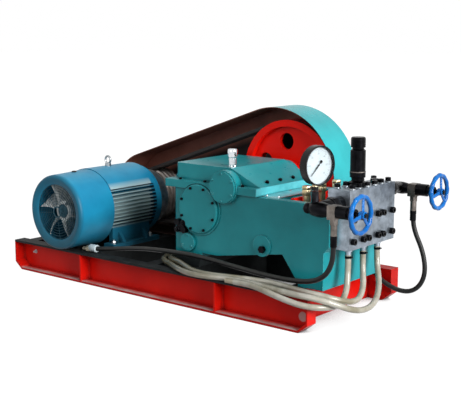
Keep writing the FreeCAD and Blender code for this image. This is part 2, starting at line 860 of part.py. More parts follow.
def motor_rotor():
    shaft = motor_shaft()
    node(shaft, "motor_shaft")
    hub = turned("FanHub", [
        ("motor_shaft_radius", "0"), ("fan_hub", "0"), ("fan_radius", "fan_width * 0.15"),
        ("fan_radius", "fan_width * 0.15 + blade_thickness"),
        ("fan_hub", "blade_thickness * 2"), ("fan_hub", "fan_width"), ("motor_shaft_radius", "fan_width"),
    ], ("motor_x", "frame_front - fan_gap", MOTOR_Z), "-Y")
    pieces = [hub]
    for blade in range(FAN_BLADES):
        vane = block(
            f"Blade{blade}", ("0", "0", "0"),
            ("fan_radius - fan_hub + blade_thickness", "fan_width * 0.8", "blade_thickness"),
        )
        turn = FreeCAD.Rotation(V(0, 1, 0), 360 * blade / FAN_BLADES - 100)
        away = turn.multVec(V(1, 0, 0))
        lift = turn.multVec(V(0, 0, 1))
        vane.Placement = FreeCAD.Placement(V(0, 0, 0), turn)
        root = "(fan_hub - blade_thickness)"
        half = "blade_thickness / 2"
        bind(
            vane,
            Placement__Base__x=f"motor_x + ({away.x:.9f}) * {root} - ({lift.x:.9f}) * {half}",
            Placement__Base__y="frame_front - fan_gap - fan_width",
            Placement__Base__z=f"{MOTOR_Z} + ({away.z:.9f}) * {root} - ({lift.z:.9f}) * {half}",
        )
        pieces.append(vane)
    node(joined("motor_fan", pieces))
    motor_pulley()


def pinion_shaft():
    start = "pump_width / 2 - pinion_shaft_inside"
    length = f"pulley_front + {PULLEY_WIDTH} - pinion_shaft_short - ({start})"
    return node(rod("pinion_shaft", "pinion_shaft_radius", length, ("pinion_x", start, "pinion_z"), "+Y"))


def tangent_loop(radius_one, radius_two, across, up):
    """The motor's shaft, the other round's centre, and the tangent directions of a line round both."""
    one = V(size("motor_x"), 0, size("rail_height") + size("shaft_height"))
    two = V(size(across), 0, size(up))
    gap = two - one
    distance = gap.Length
    heading = math.atan2(gap.z, gap.x)
    lean = math.asin((radius_two - radius_one) / distance)
    up = heading + math.pi / 2 + lean
    down = heading - math.pi / 2 - lean
    return one, two, up, down


def on_circle(centre, radius, angle):
    return V(centre.x + radius * math.cos(angle), 0, centre.z + radius * math.sin(angle))


def belt_wire(radius_one, radius_two):
    """A closed line round both pulleys."""
    one, two, up, down = tangent_loop(radius_one, radius_two, "pinion_x", "pinion_z")
    a, b = on_circle(one, radius_one, up), on_circle(two, radius_two, up)
    c, d = on_circle(two, radius_two, down), on_circle(one, radius_one, down)
    right = on_circle(two, radius_two, (up + down) / 2)
    left = on_circle(one, radius_one, (up + down) / 2 + math.pi)
    return Part.Wire([
        Part.LineSegment(a, b).toShape(), Part.Arc(b, right, c).toShape(),
        Part.LineSegment(c, d).toShape(), Part.Arc(d, left, a).toShape(),
    ])


def drive_belts():
    """Four V-belts, each one closed loop with a tapered section."""
    height = size("belt_height")
    top = size("belt_top") / 2
    foot = top - 0.36 * height
    flush = size("belt_gap")
    loops = []
    for groove in range(GROOVES):
        middle = size("pulley_edge") + groove * size("belt_pitch")
        outer_one = size("small_pulley_radius") - flush
        outer_two = size("big_pulley_radius") - flush
        wires = []
        for drop, half in ((0, top), (height, foot)):
            for way in (-1, 1):
                wire = belt_wire(outer_one - drop, outer_two - drop)
                wire.translate(V(0, middle + way * half, 0))
                wires.append(wire)
        low_out, high_out, low_in, high_in = wires
        faces = []
        for first, second in (
            (low_out, high_out), (high_out, high_in), (high_in, low_in), (low_in, low_out),
        ):
            for edge_one, edge_two in zip(first.Edges, second.Edges):
                faces.append(Part.makeRuledSurface(edge_one, edge_two))
        shell = Part.Shell(faces)
        loops.append(Part.Solid(shell))
    return node(free_shape("drive_belts", Part.Compound(loops), "pulley_front"))


# Belt guard

def guard_wire(grow):
    """The guard's outline: round over both pulleys and flat where it stands on the far rail."""
    left_r = size("guard_left_radius") + grow
    right_r = size("guard_right_radius") + grow
    one, two, up, down = tangent_loop(left_r, right_r, "guard_x", "guard_z")
    floor = size("rail_height") - grow
    a, b = on_circle(one, left_r, up), on_circle(two, right_r, up)
    d = V(one.x, 0, floor)
    away = d - two
    low = math.atan2(away.z, away.x) + math.acos(right_r / away.Length)
    c = on_circle(two, right_r, low)
    right = on_circle(two, right_r, (up + down) / 2)
    cut_x = one.x - math.sqrt(left_r ** 2 - (one.z - floor) ** 2)
    e = V(cut_x, 0, floor)
    left = on_circle(one, left_r, (up + math.pi + math.atan2(one.z - floor, one.x - cut_x)) / 2)
    return Part.Wire([
        Part.LineSegment(a, b).toShape(), Part.Arc(b, right, c).toShape(), Part.LineSegment(c, d).toShape(),
        Part.LineSegment(d, e).toShape(), Part.Arc(e, left, a).toShape(),
    ])


def belt_guard():
    thick = size("guard_sheet")
    depth = size("guard_depth")
    outer = Part.Face(guard_wire(0))
    inner = Part.Face(guard_wire(-thick))
    node(free_shape("guard_rim", outer.cut(inner).extrude(V(0, depth - thick, 0)), "guard_front"))
    node(free_shape("guard_back", outer.extrude(V(0, thick, 0)), "guard_front + guard_depth - guard_sheet"))
    rail_middle = "(skid_width / 2 - rail_flange / 2)"
    post = block(
        "BracketPost", ("guard_x - bracket_wide / 2", f"{rail_middle} - bracket_deep / 2", "rail_height"),
        ("bracket_wide", "bracket_deep", "guard_z - guard_right_radius - rail_height + bracket_wide / 2"),
    )
    seat = Part.Face(guard_wire(size("seat_gap"))).extrude(V(0, 2 * depth, 0))
    node(cut("guard_bracket", post, free_shape("BracketSeat", seat, "guard_front - guard_depth / 2")))


# Pump

def pump_frame():
    """Main casting: two feet joined by an arched belly, a crosshead cradle and the fluid-end flange."""
    body = new_body("FrameCasting")
    side_view = sketch_on(body, "XZ_Plane", "CastingSide")
    outline(side_view, [
        ("pump_left", "rail_height"), ("foot_end", "rail_height"),
        ("foot_end + corner_radius", "belly_left_z"),
        ("belly_left_x", "belly_left_z"), ("belly_right_x", "belly_right_z"),
        ("leg_start", "rail_height + leg_heel"),
        ("leg_start", "rail_height"), ("pump_right", "rail_height"), ("pump_right", "flange_bottom"),
        ("block_start", "flange_bottom + flange_out"), ("block_start", "head_bottom"),
        ("head_back - head_gap", "head_bottom"), ("head_back - head_gap", "casting_top"),
        ("pump_left", "casting_top"),
    ])
    solid = pad(body, side_view, "pump_width", midplane=True)
    rounded(
        body, solid, "corner_radius",
        lambda middle: abs(middle.x - size("pump_left")) < size("corner_radius"),
    )
    cradle = sketch_on(body, "XY_Plane", "Cradle", "casting_top")
    outline(cradle, [
        ("cradle_left", "-cradle_width / 2"), ("pump_right - cradle_wall", "-cradle_width / 2"),
        ("pump_right - cradle_wall", "cradle_width / 2"), ("cradle_left", "cradle_width / 2"),
    ])
    pocket(body, cradle, "casting_top - cradle_floor")
    extras = [body]
    root = "(pump_width / 2 - boss_root)"
    for way, along in ((-1, "-Y"), (1, "+Y")):
        extras.append(rod(
            f"PinionBossLow{way + 1}", "pinion_boss", "pinion_boss_proud + boss_root",
            ("pinion_x", f"{way} * {root}", "pinion_z"), along,
        ))
        extras.append(rod(
            f"CrankBoss{way + 1}", "crank_boss", "crank_boss_proud + boss_root",
            ("crank_x", f"{way} * {root}", "crank_z"), along,
        ))
    extras.append(rod(
        "DrainBoss", "drain_boss", "drain_boss_proud + boss_root",
        ("drain_x - drain_boss / 6", f"-{root}", "drain_z + drain_boss_rise"), "-Y",
    ))
    whole = joined("CastingSolid", extras)
    tools = [
        block(
            "AboveSplit", ("crank_x - 2 * crank_boss", "-pump_width", "casting_top"),
            ("pinion_x + 2 * pinion_boss - crank_x + 2 * crank_boss", "2 * pump_width", "2 * pinion_boss"),
        ),
        shaft_seat("ShaftSeatLow"),
    ]
    for way in (-1, 0, 1):
        tools.append(rod(
            f"PlungerWay{way + 1}", "plunger_radius + plunger_gap",
            "block_start - cradle_left + 2 * seat_beyond",
            ("cradle_left - seat_beyond", f"{way} * plunger_pitch", "plunger_z"), "+X",
        ))
    return node(cut("pump_frame", whole, joined("CastingCuts", tools)))


def shaft_seat(label):
    """The bore that holds the pinion shaft on the belt side."""
    start = "pump_width / 2 - pinion_shaft_inside - seat_beyond"
    return rod(
        label, "pinion_shaft_radius + shaft_gap", "pump_width", ("pinion_x", start, "pinion_z"), "+Y",
    )


def crankcase_cover():
    """Cover with a wide bolting flange, a sloping front and the upper halves of the pinion bosses."""
    flange_z = "(casting_top + cover_gap)"
    flange = block(
        "CoverFlange", ("cover_flange_left", "-cover_flange_width / 2", flange_z),
        ("cover_flange_right - cover_flange_left", "cover_flange_width", "cover_flange_thick"),
    )
    box = new_body("CoverBox")
    side_view = sketch_on(box, "XZ_Plane", "CoverSide")
    low = f"{flange_z} + cover_flange_thick / 2"
    outline(side_view, [
        ("cover_box_left", low), ("cover_flange_right", low),
        ("cover_flange_right", f"{flange_z} + cover_flange_thick"),
        ("cover_slope_start", "cover_top_z"), ("cover_box_left", "cover_top_z"),
    ])
    solid = pad(box, side_view, "cover_box_width", midplane=True)
    rounded(
        box, solid, "cover_corner",
        lambda middle: abs(middle.x - size("cover_box_left")) < size("cover_corner"),
    )
    pieces = [flange, box]
    for way, along in ((-1, "-Y"), (1, "+Y")):
        pieces.append(rod(
            f"PinionBossHigh{way + 1}", "pinion_boss", "cover_box_inset + pinion_boss_proud + boss_root",
            ("pinion_x", f"{way} * (cover_box_width / 2 - boss_root)", "pinion_z"), along,
        ))
    whole = joined("CoverSolid", pieces)
    below = block(
        "BelowSplit", ("pinion_x - 2 * pinion_boss", "-pump_width", "casting_top - 2 * pinion_boss"),
        ("4 * pinion_boss", "2 * pump_width", "2 * pinion_boss + cover_gap"),
    )
    cuts = [below, shaft_seat("ShaftSeatHigh")]
    for way, along in ((-1, "-Y"), (1, "+Y")):
        cuts.append(rod(
            f"CoverNotch{way + 1}", "crank_cover_radius + notch_gap", "pump_width",
            ("crank_x", f"{way} * pump_width / 2", "crank_z"), along,
        ))
    return node(cut("crankcase_cover", whole, joined("CoverCuts", cuts)))


def side_covers():
    """Round bolted covers over the crank and pinion bearings, and the small low cover."""
    pieces = []
    for way, along in ((-1, "-Y"), (1, "+Y")):
        face = f"{way} * (pump_width / 2 + crank_boss_proud)"
        pieces.append(turned(f"CrankCover{way + 1}", [
            ("0", "0"), ("crank_cover_radius", "0"),
            ("crank_cover_radius", "crank_cover_thick - crank_cover_rebate"),
            ("crank_cover_radius - crank_cover_rebate", "crank_cover_thick"), ("0", "crank_cover_thick"),
        ], ("crank_x", face, "crank_z"), along))
        bore = "0" if way < 0 else "(pinion_shaft_radius + shaft_gap)"
        thick = "pinion_cover_thick" if way < 0 else "pinion_seal_thick"
        pieces.append(turned(f"PinionCover{way + 1}", [
            (bore, "0"), ("pinion_cover_radius", "0"), ("pinion_cover_radius", thick), (bore, thick),
        ], ("pinion_x", f"{way} * (pump_width / 2 + pinion_boss_proud)", "pinion_z"), along))
    pieces.append(turned("LowCover", [
        ("0", "0"), ("low_radius", "0"), ("low_radius", "low_proud"), ("0", "low_proud"),
    ], ("low_x", "-pump_width / 2", "low_z"), "-Y"))
    return node(together("side_covers", pieces))


def fittings():
    """Oil level plug, drain plug and breather."""
    turn = FreeCAD.Rotation(V(0, 1, 0), size("level_slope"))
    away = turn.multVec(V(1, 0, 0))
    lift = turn.multVec(V(0, 0, 1))
    bar = block("LevelBar", ("0", "0", "0"), ("level_long", "plug_proud", "2 * level_radius"))
    bar.Placement = FreeCAD.Placement(V(0, 0, 0), turn)
    bind(
        bar,
        Placement__Base__x=f"level_x - ({away.x:.9f}) * level_long / 2 - ({lift.x:.9f}) * level_radius",
        Placement__Base__y="-(pump_width / 2 + plug_proud)",
        Placement__Base__z=f"level_z - ({away.z:.9f}) * level_long / 2 - ({lift.z:.9f}) * level_radius",
    )
    ends = []
    for way in (-1, 1):
        eye_x = f"level_x + {way} * ({away.x:.9f}) * level_long / 2"
        eye_z = f"level_z + {way} * ({away.z:.9f}) * level_long / 2"
        at = (eye_x, "-pump_width / 2", eye_z)
        ends.append(rod(f"LevelEye{way + 1}", "level_radius", "plug_proud * 1.2", at, "-Y"))
    level = joined("LevelGauge", [bar] + ends)
    drain = hexagon(
        "DrainPlug", "plug_radius", "drain_plug_proud",
        ("drain_x", "-(pump_width / 2 + drain_boss_proud)", "drain_z"), "-Y",
    )
    node(together("oil_plugs", [level, drain]))
    node(turned("breather", [
        ("0", "0"), ("breather_radius * 0.62", "0"), ("breather_radius * 0.62", "breather_tall * 0.25"),
        ("breather_radius", "breather_tall * 0.25"), ("breather_radius", "breather_tall * 0.85"),
        ("breather_radius * 0.8", "breather_tall"), ("0", "breather_tall"),
    ], ("breather_x", "breather_y", "cover_top_z")))
    node(block(
        "splash_plate", ("splash_left", "-cradle_width / 2 - splash_lap", "casting_top"),
        ("splash_right - splash_left", "cradle_width + 2 * splash_lap", "splash_sheet"),
    ))


def plunger_sets():
    """For each cylinder a plunger, a crosshead, a gland nut with its grease cup, and a red yoke."""
    rods, nuts, cups, yokes = [], [], [], []
    nut_end = "(pump_right - cradle_wall - plunger_gap)"
    yoke_start = "(cradle_left + yoke_from_wall)"
    nose_start = f"({yoke_start} + yoke_thick)"
    nut_start = f"({nose_start} + gland_nose_out)"
    reach = f"({nut_end} - {nut_start})"
    cup_x = f"({nut_start} + gland_long / 2)"
    hole_radius = "plunger_radius + plunger_gap"
    for way in (-1, 0, 1):
        y = f"{way} * plunger_pitch"
        stroke = "block_start + plunger_in_block - cradle_left"
        rods.append(joined(f"Plunger{way + 1}", [
            rod(f"PlungerRod{way + 1}", "plunger_radius", stroke, ("cradle_left", y, "plunger_z"), "+X"),
            rod(
                f"Crosshead{way + 1}", "crosshead_radius", "crosshead_long",
                ("cradle_left + plunger_gap", y, "plunger_z"), "+X",
            ),
        ]))
        ring = joined(f"NutRing{way + 1}", [
            hexagon(f"NutHex{way + 1}", "gland_radius", "gland_long", (nut_start, y, "plunger_z"), "+X"),
            rod(
                f"NutNose{way + 1}", "gland_nose", "gland_long + gland_nose_out",
                (nose_start, y, "plunger_z"), "+X",
            ),
            rod(f"GlandBarrel{way + 1}", "gland_barrel", reach, (nut_start, y, "plunger_z"), "+X"),
        ])
        hole = rod(
            f"NutHole{way + 1}", hole_radius, f"{reach} + 2 * gland_long",
            (f"{nut_start} - gland_long", y, "plunger_z"), "+X",
        )
        nuts.append(cut(f"GlandNut{way + 1}", ring, hole))
        cup_start = (cup_x, y, "plunger_z + gland_radius / 2")
        cup = joined(f"CupSolid{way + 1}", [
            hexagon(f"CupBase{way + 1}", "cup_base", "gland_radius / 2 + cup_base_tall", cup_start),
            rod(f"CupTube{way + 1}", "cup_radius", "cup_top - gland_radius / 2", cup_start),
        ])
        seat = hexagon(f"CupSeat{way + 1}", "gland_radius", "gland_long", (nut_start, y, "plunger_z"), "+X")
        cups.append(cut(f"Cup{way + 1}", cup, seat))
        yoke = block(
            f"YokeBar{way + 1}", (yoke_start, f"{y} - yoke_wide / 2", "plunger_z - gland_radius"),
            ("yoke_thick", "yoke_wide", "gland_radius + yoke_top"),
        )
        yoke_hole = rod(
            f"YokeHole{way + 1}", hole_radius, "3 * yoke_thick",
            (f"{yoke_start} - yoke_thick", y, "plunger_z"), "+X",
        )
        yokes.append(cut(f"Yoke{way + 1}", yoke, yoke_hole))
    node(together("plungers", rods))
    node(together("gland_nuts", nuts))
    node(together("grease_cups", cups))
    node(together("gland_yokes", yokes))


def fluid_end():
    """Cylinder block with its plunger bores, and the valve head on top of it."""
    solid = block(
        "BlockSolid", ("block_start", "-block_width / 2", "block_bottom"),
        ("block_thick", "block_width", "head_bottom - block_bottom"),
    )
    bores = []
    for way in (-1, 0, 1):
        bores.append(rod(
            f"BlockBore{way + 1}", "plunger_radius + plunger_gap",
            "plunger_in_block + plunger_gap + bore_beyond",
            ("block_start - bore_beyond", f"{way} * plunger_pitch", "plunger_z"), "+X",
        ))
    node(cut("fluid_block", solid, joined("BlockBores", bores)))
    head = new_body("valve_head")
    section = sketch_on(head, "XZ_Plane", "HeadSection")
    outline(section, [
        ("block_start", "head_bottom"), ("block_start + block_thick", "head_bottom"),
        ("block_start + block_thick", "head_top"),
        ("head_back", "head_top"), ("head_back", "head_bottom"),
    ])
    pad(head, section, "block_width", midplane=True)
    node(head)
    stubs = []
    for way in (-1, 0, 1):
        y = f"{way} * plunger_pitch"
        stubs.append(joined(f"Stub{way + 1}", [
            hexagon(
                f"StubHex{way + 1}", "stub_collar", "stub_collar_tall", ("stub_x", y, "block_bottom"), "-Z",
            ),
            rod(f"StubTail{way + 1}", "stub_radius", "stub_drop", ("stub_x", y, "block_bottom"), "-Z"),
        ]))
    node(together("suction_stubs", stubs))
    node(turned("relief_valve", [
        ("0", "0"), ("relief_base", "0"), ("relief_base", "relief_base_tall"),
        ("relief_neck", "relief_base_tall + 3 * relief_edge"), ("relief_neck", "relief_neck_top"),
        ("relief_collar", "relief_neck_top + relief_edge"),
        ("relief_collar", "relief_neck_top + relief_collar_tall"),
        ("relief_barrel", "relief_neck_top + relief_collar_tall + relief_edge"),
        ("relief_barrel", "relief_barrel_top - 3 * relief_edge"), ("relief_seat", "relief_barrel_top"),
        ("relief_seat", "relief_tall"), ("0", "relief_tall"),
    ], ("head_back + relief_inset", "relief_y", "head_top")))
    node(turned("relief_cap", [
        ("0", "0"), ("relief_cap", "0"), ("relief_cap", "relief_cap_tall - 2 * relief_edge"),
        ("relief_cap - 2 * relief_edge", "relief_cap_tall"), ("0", "relief_cap_tall"),
    ], ("head_back + relief_inset", "relief_y", "head_top + relief_tall")))


def side_valve(name, side):
    """Outlet valve on one side of the head: adaptor bar and pipe, outlet block, body and handwheel."""
    y = f"{name}_valve_y"
    z = f"{name}_valve_z"
    half = "bar_side / 2"
    bar = block(
        f"{name}Bar", ("bar_start", f"{y} - {half}", f"{z} - {half}"),
        ("bar_end - bar_start", "bar_side", "bar_side"),
    )
    plug = hexagon(
        f"{name}Plug", "bar_plug_radius", "bar_plug_long + weld_sink", ("bar_start + weld_sink", y, z),
        "-X",
    )
    start = "block_width / 2"
    along = "-Y" if side < 0 else "+Y"
    reach = f"({side} * {y} - {half} - {start} + weld_sink)"
    pipe = rod(f"{name}Pipe", "pipe_radius", reach, ("pipe_x", f"{side} * {start}", z), along)
    collar = hexagon(
        f"{name}Collar", "pipe_collar", "pipe_collar_long", ("pipe_x", f"{side} * {start}", z), along,
    )
    pieces = [bar, plug, pipe, collar]
    if side < 0:
        pieces.append(block(
            "GaugeSquare",
            ("gauge_x - gauge_square / 2", f"{y} - gauge_square / 2", f"{z} + {half} - weld_sink"),
            ("gauge_square", "gauge_square", "gauge_square_tall + weld_sink"),
        ))
    node(joined(f"{name}_adaptor", pieces))
    low = f"({z} - outlet_side / 2 - outlet_drop / 2)"
    body = block(
        f"{name}OutletBody", ("bar_end", f"{y} - outlet_side / 2", low),
        ("outlet_long", "outlet_side", "outlet_side + outlet_drop / 2"),
    )
    middle = "bar_end + outlet_long / 2"
    root = (middle, y, f"{low} + weld_sink")
    nipple = rod(f"{name}Nipple", "nipple_radius", f"{low} - {name}_hose_top + weld_sink", root, "-Z")
    nut = hexagon(f"{name}NippleNut", "nipple_nut", "nipple_nut_tall", root, "-Z")
    node(joined(f"{name}_outlet", [body, nipple, nut]))
    bore = "spindle_radius + spindle_gap"
    end = "valve_long + bonnet_long"
    floor = f"{end} - spindle_in_bonnet - bore_beyond"
    node(turned(f"{name}_valve", [
        ("0", "0"), ("valve_radius", "0"), ("valve_radius", "valve_long"), ("bonnet_radius", "valve_long"),
        ("bonnet_radius", end), (bore, end), (bore, floor), ("0", floor),
    ], ("bar_end + outlet_long", y, z), "+X"))
    handwheel(name, y, z)


def handwheel(name, y, z):
    """Dished three-spoke handwheel on its spindle."""
    ring = doc.addObject("Part::Torus", f"{name}WheelRim")
    bind(ring, Radius1="wheel_radius - wheel_rim", Radius2="wheel_rim")
    place(ring, ("wheel_centre", y, z), "+X")
    hub_start = "wheel_centre + wheel_dish - wheel_hub_long / 2"
    hub = rod(f"{name}WheelHub", "wheel_hub", "wheel_hub_long", (hub_start, y, z), "+X")
    spindle_start = "(bar_end + outlet_long + valve_long + bonnet_long - spindle_in_bonnet)"
    spindle_end = "wheel_centre + wheel_dish + wheel_hub_long / 2 + spindle_beyond"
    spindle = rod(
        f"{name}Spindle", "spindle_radius", f"{spindle_end} - {spindle_start}", (spindle_start, y, z), "+X",
    )
    pieces = [ring, hub, spindle]
    reach = "wheel_radius - wheel_rim - wheel_hub / 2"
    for spoke in range(WHEEL_SPOKES):
        turn = FreeCAD.Rotation(V(1, 0, 0), 360 * spoke / WHEEL_SPOKES + 30)
        bar = block(f"{name}Spoke{spoke}", ("0", "0", "0"), ("wheel_spoke_thick", reach, "wheel_spoke"))
        side_way = turn.multVec(V(0, 0, 1))
        out_way = turn.multVec(V(0, 1, 0))
        bar.Placement = FreeCAD.Placement(V(0, 0, 0), turn)
        side, start = "wheel_spoke / 2", "wheel_hub / 2"
        bind(
            bar,
            Placement__Base__x="wheel_centre - wheel_spoke_thick / 3",
            Placement__Base__y=f"{y} - ({side_way.y:.9f}) * {side} + ({out_way.y:.9f}) * {start}",
            Placement__Base__z=f"{z} - ({side_way.z:.9f}) * {side} + ({out_way.z:.9f}) * {start}",
        )
        pieces.append(bar)
    node(joined(f"{name}_handwheel", pieces))


def pressure_gauge():
    """Dial gauge on the left valve bar, turned a little toward the near side."""
    back = "gauge_deep / 2"
    inner = "gauge_radius - gauge_rim"
    case = turned("GaugeCan", [
        ("0", f"-{back}"), ("gauge_radius - gauge_edge", f"-{back}"),
        ("gauge_radius", f"-{back} + gauge_edge"),
        ("gauge_radius", back),
        (inner, back), (inner, f"{back} - gauge_recess"), ("0", f"{back} - gauge_recess"),
    ])
    dial = turned("gauge_dial", [
        ("0", f"{back} - gauge_recess"), (f"{inner} - dial_gap", f"{back} - gauge_recess"),
        (f"{inner} - dial_gap", f"{back} - gauge_recess + dial_thick"),
        ("0", f"{back} - gauge_recess + dial_thick"),
    ])
    glass = turned("gauge_glass", [
        ("0", f"{back} - glass_thick - glass_inset"),
        (f"{inner} - dial_gap", f"{back} - glass_thick - glass_inset"),
        (f"{inner} - dial_gap", f"{back} - glass_inset"), ("0", f"{back} - glass_inset"),
    ])
    needle = new_body("gauge_needle")
    pointer = sketch_on(needle, "XY_Plane", "Pointer", f"{back} - gauge_recess + dial_thick + needle_above")
    outline(pointer, [
        ("-needle_wide / 2", "-needle_tail"), ("needle_wide / 2", "-needle_tail"),
        ("needle_wide / 6", "needle_long"),
        ("-needle_wide / 6", "needle_long"),
    ])
    pad(needle, pointer, "needle_thick")
    pivot = sketch_on(needle, "XY_Plane", "Pivot", f"{back} - gauge_recess + dial_thick + dial_gap")
    circle(pivot, "0", "0", "needle_hub")
    pad(needle, pivot, "needle_above - dial_gap + 2 * needle_thick")
    tilt = FreeCAD.Rotation(V(0, 0, 1), -size("gauge_turn")).multiply(FreeCAD.Rotation(V(0, 1, 0), 90))
    spin = tilt.multiply(FreeCAD.Rotation(V(0, 0, 1), -135))
    for piece, turn in ((case, tilt), (dial, tilt), (glass, tilt), (needle, spin)):
        piece.Placement = FreeCAD.Placement(V(0, 0, 0), turn)
        bind(
            piece, Placement__Base__x="gauge_x + gauge_forward", Placement__Base__y="left_valve_y",
            Placement__Base__z="gauge_z",
        )
    foot = "(left_valve_z + bar_side / 2 + gauge_square_tall)"
    stem = rod(
        "GaugeStem", "gauge_stem", f"gauge_z - gauge_radius - {foot} + gauge_edge",
        ("gauge_x", "left_valve_y", foot),
    )
    nut = hexagon(
        "GaugeNut", "gauge_stem * 1.5", f"(gauge_z - gauge_radius - {foot}) * 0.7",
        ("gauge_x", "left_valve_y", foot),
    )
    node(joined("gauge_case", [case, stem, nut]))
    node(dial)
    node(glass)
    node(needle)


# Hoses

def route_line(points):
    """Straight runs joined by tangent arcs, each arc as large as its two runs allow."""
    edges, radii = [], []
    start = points[0]
    for before, corner, after in zip(points, points[1:], points[2:]):
        come, leave = corner - before, after - corner
        half_turn = come.getAngle(leave) / 2
        trim = ARC_SHARE * min(come.Length, leave.Length)
        radius = trim / math.tan(half_turn)
        come.normalize()
        leave.normalize()
        inward = (leave - come).normalize()
        enter = corner - come * trim
        middle = corner + inward * (radius / math.cos(half_turn) - radius)
        away = corner + leave * trim
        edges.append(Part.LineSegment(start, enter).toShape())
        edges.append(Part.Arc(enter, middle, away).toShape())
        radii.append(radius)
        start = away
    edges.append(Part.LineSegment(start, points[-1]).toShape())
    return Part.Wire(edges), radii


def hose(label, bore):
    """A hose as a plain round tube swept along its route."""
    points = [V(*point) for point in ROUTES[label]]
    wire, radii = route_line(points)
    line = free_shape(label + "Line", wire)
    section = doc.addObject("Part::Circle", label + "Section")
    bind(section, Radius=f"{bore} / 2")
    place(section, points[0], FreeCAD.Rotation(V(0, 0, 1), points[1] - points[0]))
    tube = doc.addObject("Part::Sweep", label)
    tube.Sections = [section]
    tube.Spine = (line, [f"Edge{number + 1}" for number in range(len(wire.Edges))])
    tube.Solid = True
    tube.Frenet = False
    doc.recompute()
    expected = math.pi * size(bore) ** 2 / 4 * wire.Length
    print(f"{label:20s} length {wire.Length:.0f} smallest radius {min(radii):.0f} "
          f"volume share {tube.Shape.Volume / expected:.4f}")
    return node(tube)


def on_end(route, steps):
    """Round and hexagon pieces in a row beyond a hose's free end, as (make, name, radius, length)."""
    before, end = (V(*point) for point in ROUTES[route][-2:])
    way = (end - before).normalize()
    turn = FreeCAD.Rotation(V(0, 0, 1), way)
    offset = "0"
    pieces = []
    for make, name, radius, length in steps:
        at = [f"{part:.4f} + ({share:.9f}) * ({offset})" for part, share in zip(end, way)]
        pieces.append(make(f"{route}{name}", radius, length, at, turn))
        offset = f"{offset} + {length}"
    return pieces


def hose_ends():
    """A plain tail in each suction hose, and a crimped ferrule with a swivel nut on each pressure hose."""
    tails = []
    for side in ("left", "middle", "right"):
        tails += on_end(f"suction_hose_{side}", [(rod, "Tail", "tail_radius", "tail_long")])
    node(together("suction_hose_ends", tails))
    for side in ("left", "right"):
        node(joined(f"{side}_hose_end", on_end(f"{side}_pressure_hose", [
            (rod, "Ferrule", "ferrule_radius", "ferrule_long"),
            (hexagon, "Nut", "swivel_nut", "swivel_nut_long"),
            (rod, "Nose", "swivel_tail", "swivel_tail_long"),
        ])))


def hoses():
    for side in ("left", "middle", "right"):
        hose(f"suction_hose_{side}", "suction_hose")
    for side in ("left", "right"):
        hose(f"{side}_pressure_hose", "pressure_hose")
    hose_ends()


def write_parts():
    """Check every feature and every finished shape, then write one file for each node."""
    doc.recompute()
    for item in doc.Objects:
        if "Invalid" in item.State or "Error" in item.State:
            raise RuntimeError(f"{item.Name} failed: {item.State}")
    os.makedirs("parts", exist_ok=True)
    for item in ROOT:
        shape = item.Shape
        if shape.isNull() or not shape.isValid():
            raise RuntimeError(f"{item.Label} has no valid shape")
        shape.exportStep(f"parts/{item.Label}.step")
        box = shape.BoundBox
        print(f"{item.Label:20s} solids {len(shape.Solids)} volume {shape.Volume / 1e3:10.1f} cm3 "
              f"x {box.XMin:.0f}..{box.XMax:.0f} y {box.YMin:.0f}..{box.YMax:.0f} "
              f"z {box.ZMin:.0f}..{box.ZMax:.0f}")


skid()
motor_frame()
motor_shield()
fan_cover()
lifting_eye()
terminal_box()
motor_rotor()
drive_pulley()
pinion_shaft()
drive_belts()
belt_guard()
pump_frame()
crankcase_cover()
side_covers()
fittings()
plunger_sets()
fluid_end()
side_valve("left", -1)
side_valve("right", 1)
pressure_gauge()
hoses()
write_parts()
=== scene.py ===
# %% [markdown]
# # Hydrostatic test pump
# An electric motor turns a plunger pump through V-belts, all on one welded skid. The packed
# solids are the frame. Each step below gives a part of it the finish of the real one, or adds
# what is too small for the solids, such as screws, clamps and a dial.

# %% Start
import bmesh
import bpy
import math
from functools import partial
from mathutils import Matrix, Vector, noise


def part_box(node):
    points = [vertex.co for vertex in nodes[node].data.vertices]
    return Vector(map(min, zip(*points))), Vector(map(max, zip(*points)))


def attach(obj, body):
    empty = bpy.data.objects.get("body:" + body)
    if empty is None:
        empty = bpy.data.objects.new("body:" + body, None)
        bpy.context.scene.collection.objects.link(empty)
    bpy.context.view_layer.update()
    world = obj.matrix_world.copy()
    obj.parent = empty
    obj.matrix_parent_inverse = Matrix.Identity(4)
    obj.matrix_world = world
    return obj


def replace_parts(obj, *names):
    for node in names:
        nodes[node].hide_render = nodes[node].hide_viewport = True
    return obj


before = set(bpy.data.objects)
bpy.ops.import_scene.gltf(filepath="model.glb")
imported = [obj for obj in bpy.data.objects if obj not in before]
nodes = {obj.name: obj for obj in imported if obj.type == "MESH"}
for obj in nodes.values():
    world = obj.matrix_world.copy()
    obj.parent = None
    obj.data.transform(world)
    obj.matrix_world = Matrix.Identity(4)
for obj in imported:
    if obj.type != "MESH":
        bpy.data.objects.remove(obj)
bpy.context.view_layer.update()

# %% [markdown]
# ## Camera
# The camera stands at the fluid end's near corner, a little above the pump. A long lens from
# 4.5 m keeps the skid's edges nearly parallel, as they are in the photograph.

# %% Camera
camera_data = bpy.data.cameras.new("camera")
camera_data.sensor_width = 36
camera_data.lens = 78.06
camera = bpy.data.objects.new("camera", camera_data)
camera.location = (2.9454, -3.3238, 1.1324)
camera.rotation_euler = (math.radians(80.402), 0, math.radians(39.447))
bpy.context.scene.collection.objects.link(camera)
bpy.context.scene.camera = camera
bpy.context.scene.view_settings.view_transform = "Standard"
print("camera at", tuple(round(v, 2) for v in camera.location))

# %% [markdown]
# ## Colours and nodes
# Paint colours are written as hex values, the way a colour card gives them. Shaders work in
# linear light, so one function converts them. One small function adds a node with its settings
# and its links, so a material reads as a short list. A link is given as the socket that it
# comes from, or as a node, which means its first output. A mask says where dirt or wear lies,
# from limits on measured values.

